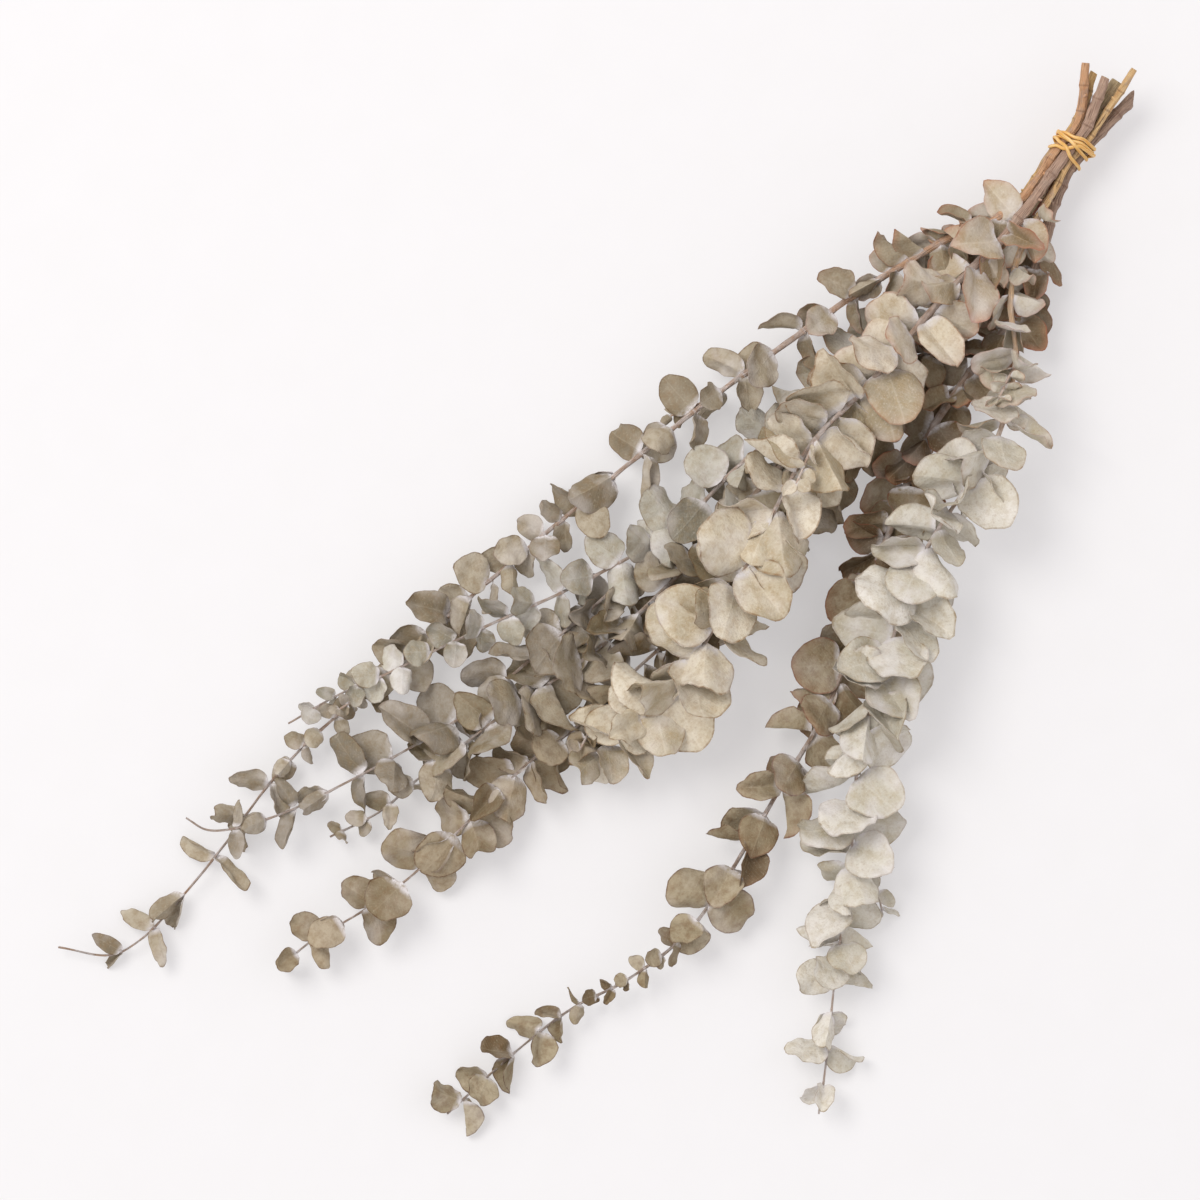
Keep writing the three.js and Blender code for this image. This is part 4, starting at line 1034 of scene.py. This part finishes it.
corners_of = {branch["name"]: solid_points(branch["name"]) for branch in BRANCHES}
solids = all_solids()
for branch in BRANCHES:
    name, line = branch["name"], branch["line"]
    short = name.replace("branch_", "")
    branch["leaf_finish"] = dried_leaf("dried_leaf_" + short, *LEAF_COLOURS[name])
    leaves, without = [], []
    for pair in branch["pairs"]:
        radius = FULLNESS * stem_radius(branch, pair["s"])
        for side in (0, 1):
            fine = pair["length"] < LEFT_OUT_LEAF
            leaf = None if fine else settled(branch, corners_of[name], line, radius, pair, side)
            if leaf:
                leaves.append(leaf)
            else:
                without.append((pair, side))
    without += [(pair, side) for pair in crowded_pairs(branch) for side in (0, 1)]
    for pair, side in without:
        radius = FULLNESS * stem_radius(branch, pair["s"])
        leaf = found_room(branch, solids, line, radius, pair, side)
        if leaf:
            leaves.append(leaf)
    browned_over = DARK_BROWNED_OVER if name == "branch_right_dark" else BROWNED_OVER
    points, faces, blade_place, growth = leaves_mesh(leaves, branch["seed"], browned_over)
    make_piece(
        "leaves_" + short, points, faces, [branch["leaf_finish"]], name,
        {"blade": blade_place, "growth": growth}, sharp=55,
    )

# Side shoots: thin twigs of the same season, with small leaves in pairs.
SHOOT_RADIUS = 0.8
TWIG_SIDES = 8
TWIG_TIP_RADIUS = 0.5
SHOOT_RISE, STALK_RISE = 0.2, 0.25  # how much a shoot and the stalk of a bud cluster turn up
YOUNG_FROM = 300  # a twig's bark is as young as a stem's this far along
TOUCHES = 0.05  # how near a shoot or bud has to be to its solid to count as there


def shoot_line(line, s, turn, length, rise):
    """The middle line of a side shoot, which leaves the stem at a slant and bends along it"""
    stem = line.along(s)
    level, upright = across(stem)
    direction = unit(stem * 0.75 + outward(level, upright, turn) * 0.65)
    direction = unit(direction * np.array([1, 1, 0.7]) + UP * rise)
    start = line.at(s)
    return CentreLine([start + (direction * t + stem * 0.12 * t * t) * length for t in (0, 0.35, 0.7, 1)])


def twig_mesh(line, thick, thin):
    """Rings of points along a twig, closed at both ends, with the values that its bark is drawn from"""
    angle = 2 * np.pi * np.arange(TWIG_SIDES) / TWIG_SIDES
    stations = np.linspace(0, line.total, max(6, int(line.total / STEM_STEP)))
    points, bark = [], []
    for s in stations:
        radius = thick + (thin - thick) * s / line.total
        points.append(ring_of(line.at(s), *across(line.along(s)), angle, radius))
        far = np.full(TWIG_SIDES, YOUNG_FROM + s)
        bark.append(np.column_stack([far, angle * radius, np.zeros(TWIG_SIDES)]))
    return np.concatenate(points), tube_faces(len(stations), TWIG_SIDES), np.concatenate(bark)


for branch in BRANCHES:
    name = branch["name"]
    short = name.replace("branch_", "")
    twigs, leaves = [], []
    for number, (s, turn, length, leaf_length) in enumerate(branch["shoots"]):
        line = shoot_line(branch["line"], s, turn, length, SHOOT_RISE)
        count = max(2, math.floor(length / (leaf_length * 0.8) + 0.5))
        if abs(gap_to_solid(corners_of[name], line.at(line.total - 0.2)) - SHOOT_RADIUS) > TOUCHES:
            continue
        twigs.append(twig_mesh(line, SHOOT_RADIUS, TWIG_TIP_RADIUS))
        for k in range(count):
            pair = dict(
                k=k, shoot=number + 1, s=min((k + 1) * line.total / count, line.total - 1.2),
                turn=40 + QUARTER_TURN * k, length=leaf_length * (1.15 - 0.35 * (k + 1) / count), slim=0.9,
            )
            for side in (0, 1):
                leaf = settled(branch, corners_of[name], line, SHOOT_RADIUS, pair, side)
                if leaf:
                    leaf["s"] = s
                    leaves.append(leaf)
    if twigs:
        points, faces, bark = joined(twigs)
        make_piece(
            "twigs_" + short, points, faces, [barks[name]], name, {"bark": bark}, sharp=60
        )
    if leaves:
        points, faces, blade_place, growth = leaves_mesh(leaves, branch["seed"] + 50)
        make_piece(
            "twig_leaves_" + short, points, faces, [branch["leaf_finish"]], name,
            {"blade": blade_place, "growth": growth}, sharp=55,
        )

# The buds: woody clusters on short stalks, each bud a ribbed cup with a pointed cap. They have shrunk as they
# dried, and a thick blue-white wax covers all but the seams and the deepest gaps.
BUD_SIZE = 4.8
BUD_SPREAD = 1.6
BUD_SIDES = 12
BUD_RADIUS = 0.42  # of its length
FROM_BUD_TO_BUD = 2.4  # radians round the cluster, so that the buds spread evenly over it
CUP_END, SEAM = 0.56, 0.57
# the cup, the seam and the cap: share of the bud's length, share of its widest radius
BUD_PROFILE = [
    (0.0, 0.22), (0.1, 0.5), (0.28, 0.82), (0.46, 0.98), (0.54, 1.0), (SEAM, 0.93), (0.6, 0.97),
    (0.7, 0.8), (0.82, 0.5), (0.93, 0.22), (1.0, 0.06),
]


def bud_mesh(base, along, size, draw):
    level, upright = across(along)
    angle = 2 * np.pi * np.arange(BUD_SIDES) / BUD_SIDES
    ribs = 1 + 0.07 * np.cos(angle * 4 + 6 * draw())
    points, seams = [], []
    for share, wide in BUD_PROFILE:
        radius = BUD_RADIUS * size * wide * (ribs if 0 < share < CUP_END else 1)
        points.append(ring_of(base + along * share * size, level, upright, angle, radius))
        seam = float(share in (0.0, SEAM, 1.0))  # the wax is off there and at both ends
        seams.append(np.tile([share, seam, 0.0], (BUD_SIDES, 1)))
    return np.concatenate(points), tube_faces(len(BUD_PROFILE), BUD_SIDES), np.concatenate(seams)


# Waxed bud: chalky, nearly white with a cold tint, and brown where the wax has rubbed off.
waxed_bud, tree, shader = new_material("waxed_dry_bud")
seam_value = add(tree, "Attribute", out="Vector", attribute_name="seam")
_, at_seam, _ = add(tree, "SeparateXYZ", {0: seam_value}, out=None)
place = add(tree, "TexCoord", out="Object")
# lumps of wax about 2 mm across
crust = add(tree, "TexNoise", {"Vector": place, "Scale": 520.0, "Detail": 4.0})
rubbed = add(tree, "MapRange", {"Value": crust, "From Min": 0.5, "From Max": 0.62})
rubbed = add(tree, "Math", {0: rubbed, 1: at_seam}, operation="MAXIMUM")
wax = add(tree, "Mix", {0: crust, 6: "#aeb3c8", 7: "#dcdee8"}, out=2, data_type="RGBA")
colour = add(tree, "Mix", {0: rubbed, 6: wax, 7: "#6d5f66"}, out=2, data_type="RGBA")
bump = add(tree, "Bump", {"Height": crust, "Strength": 0.8, "Distance": 0.0006})
put_in(tree, shader, {"Base Color": colour, "Roughness": 0.88, "IOR": 1.44, "Normal": bump})

for branch in BRANCHES:
    name = branch["name"]
    stalks, buds = [], []
    for s, turn, length, count in branch["buds"]:
        line = shoot_line(branch["line"], s, turn, length, STALK_RISE)
        stalks.append(twig_mesh(line, SHOOT_RADIUS, SHOOT_RADIUS))
        draw = draws(branch["seed"] * 613 + s)
        for k in range(count):
            height = 1 - 2 * (k + 0.5) / count
            flat = math.sqrt(1 - height * height)
            round_it = FROM_BUD_TO_BUD * k
            along = unit(np.array([flat * math.cos(round_it), flat * math.sin(round_it), height]))
            size = BUD_SIZE + BUD_SPREAD * draw()
            base = line.at(line.total - 0.5)
            if gap_to_solid(corners_of[name], base + along * size) < TOUCHES:
                buds.append(bud_mesh(base, along, size, draws(int(s) * 31 + k)))
    if buds:
        points, faces, bark = joined(stalks)
        make_piece("bud_stalks", points, faces, [barks[name]], name, {"bark": bark}, sharp=60)
        points, faces, seams = joined(buds)
        make_piece("buds", points, faces, [waxed_bud], name, {"seam": seams}, sharp=50)

# The rubber band: one endless strand of natural latex, wound five times round the stems and drawn tight. Each
# turn rides over the ones that it crosses, and the strand passes from turn to turn under the bunch.
BAND_RADIUS = 0.9
BAND_TURNS = [(3, -2), (0.7, -2.2), (-2.8, -5.2), (-5.2, 2.5), (-0.8, 0.9)]
BAND_STEPS = 120  # to each turn
BAND_SIDES = 12
BAND_FLATNESS = 0.82  # thickness over width, because a tight strand flattens
CROSSING_REACH = 2.3  # strands closer than this lie over each other
CROSSING_RISE = 1.5  # and the later one is this much farther out
PASS_START, PASS_LENGTH = 205, 130  # degrees round the stems, under the bunch
RISE_SMOOTHING, WAY_SMOOTHING = 6, 14  # how often each is evened out


def pass_on(angle):
    """How far the strand has moved on to its next turn: all of it happens under the bunch"""
    share = np.clip((angle - math.radians(PASS_START)) / math.radians(PASS_LENGTH), 0, 1)
    return share * share * (3 - 2 * share)


angle = 2 * np.pi * np.arange(BAND_STEPS) / BAND_STEPS
way = []
for number, (place_along, lean) in enumerate(BAND_TURNS):
    next_place, next_lean = BAND_TURNS[(number + 1) % len(BAND_TURNS)]
    share = pass_on(angle)
    here, after = place_along + lean * np.cos(angle), next_place + next_lean * np.cos(angle)
    way.append(here + (after - here) * share)
way = np.array(way)
height = np.zeros_like(way)
for number in range(1, len(way)):
    for earlier in range(number):
        near = np.clip(1 - (np.abs(way[number] - way[earlier]) / CROSSING_REACH) ** 2, 0, 1)
        height[number] = np.maximum(height[number], (height[earlier] + CROSSING_RISE) * near)
for _ in range(RISE_SMOOTHING):
    rise = height.ravel()
    height = ((np.roll(rise, 1) + rise * 2 + np.roll(rise, -1)) / 4).reshape(way.shape)

centres, outwards = [], []
for number in range(len(BAND_TURNS)):
    for k, turned in enumerate(angle):
        out = np.array([0.0, math.cos(turned), math.sin(turned)])
        reaches = []
        for branch in BRANCHES:
            centre = np.array([0.0, *slots_in_band[branch["name"]]])
            reaches.append((centre.dot(out) + branch["radius"], branch["name"], branch["radius"]))
        _, name, radius = max(reaches, key=lambda found: found[0])  # the stem farthest out on this side
        centre = np.array([BAND_CENTRE[0] + way[number][k], *slots_in_band[name]])
        centres.append(centre + out * (radius + TOUCH + BAND_RADIUS * BAND_FLATNESS + height[number][k]))
        outwards.append(out)
centres, outwards = np.array(centres), np.array(outwards)
loop = np.concatenate([centres, centres[:1]])
run = np.concatenate([[0.0], np.cumsum(np.linalg.norm(np.diff(loop, axis=0), axis=1))])
even = np.linspace(0, run[-1], len(centres), endpoint=False)
centres = np.column_stack([np.interp(even, run, loop[:, i]) for i in range(3)])
looped = np.concatenate([outwards, outwards[:1]])
outwards = np.column_stack([np.interp(even, run, looped[:, i]) for i in range(3)])
for _ in range(WAY_SMOOTHING):
    centres = (np.roll(centres, 1, axis=0) + centres * 2 + np.roll(centres, -1, axis=0)) / 4
heading = unit(np.roll(centres, -1, axis=0) - np.roll(centres, 1, axis=0))
sideways = unit(np.cross(heading, outwards))
upwards = np.cross(sideways, heading)
points, strand = [], []
steps = np.arange(len(centres))
for k in range(BAND_SIDES):
    round_it = 2 * math.pi * k / BAND_SIDES
    points.append(
        centres
        + sideways * BAND_RADIUS * math.cos(round_it)
        + upwards * BAND_RADIUS * BAND_FLATNESS * math.sin(round_it)
    )
    strand.append(np.column_stack([steps, np.full(len(steps), k), np.zeros(len(steps))]))
points = np.stack(points, axis=1).reshape(-1, 3)
strand = np.stack(strand, axis=1).reshape(-1, 3)
faces = []
for i in range(len(centres)):
    j = (i + 1) % len(centres)
    for k in range(BAND_SIDES):
        after = (k + 1) % BAND_SIDES
        faces.append((i * BAND_SIDES + k, j * BAND_SIDES + k, j * BAND_SIDES + after, i * BAND_SIDES + after))

# Natural latex: waxy yellow-orange, slightly see-through so its edges glow, with pale stretch marks along it.
latex, tree, shader = new_material("natural_latex")
along_strand = add(tree, "Attribute", out="Vector", attribute_name="strand")
# marks about 8 mm long and 0.5 mm wide
stretched = add(tree, "VectorMath", {0: along_strand, 1: (0.03, 0.5, 0.0)}, operation="MULTIPLY")
marks = add(tree, "TexNoise", {"Vector": stretched, "Scale": 2.0, "Detail": 3.0})
pale_part = add(tree, "MapRange", {"Value": marks, "From Min": 0.42, "From Max": 0.66})
colour = add(tree, "Mix", {0: pale_part, 6: "#d7a048", 7: "#eccb8f"}, out=2, data_type="RGBA")
bump = add(tree, "Bump", {"Height": marks, "Strength": 0.3, "Distance": 0.0003})
put_in(tree, shader, {"Base Color": colour, "Roughness": 0.48, "IOR": 1.52, "Normal": bump})
put_in(tree, shader, {"Subsurface Weight": 0.15, "Subsurface Radius": (0.002, 0.001, 0.0004)})
make_piece("rubber_band_strand", points, faces, [latex], "rubber_band", {"strand": strand})
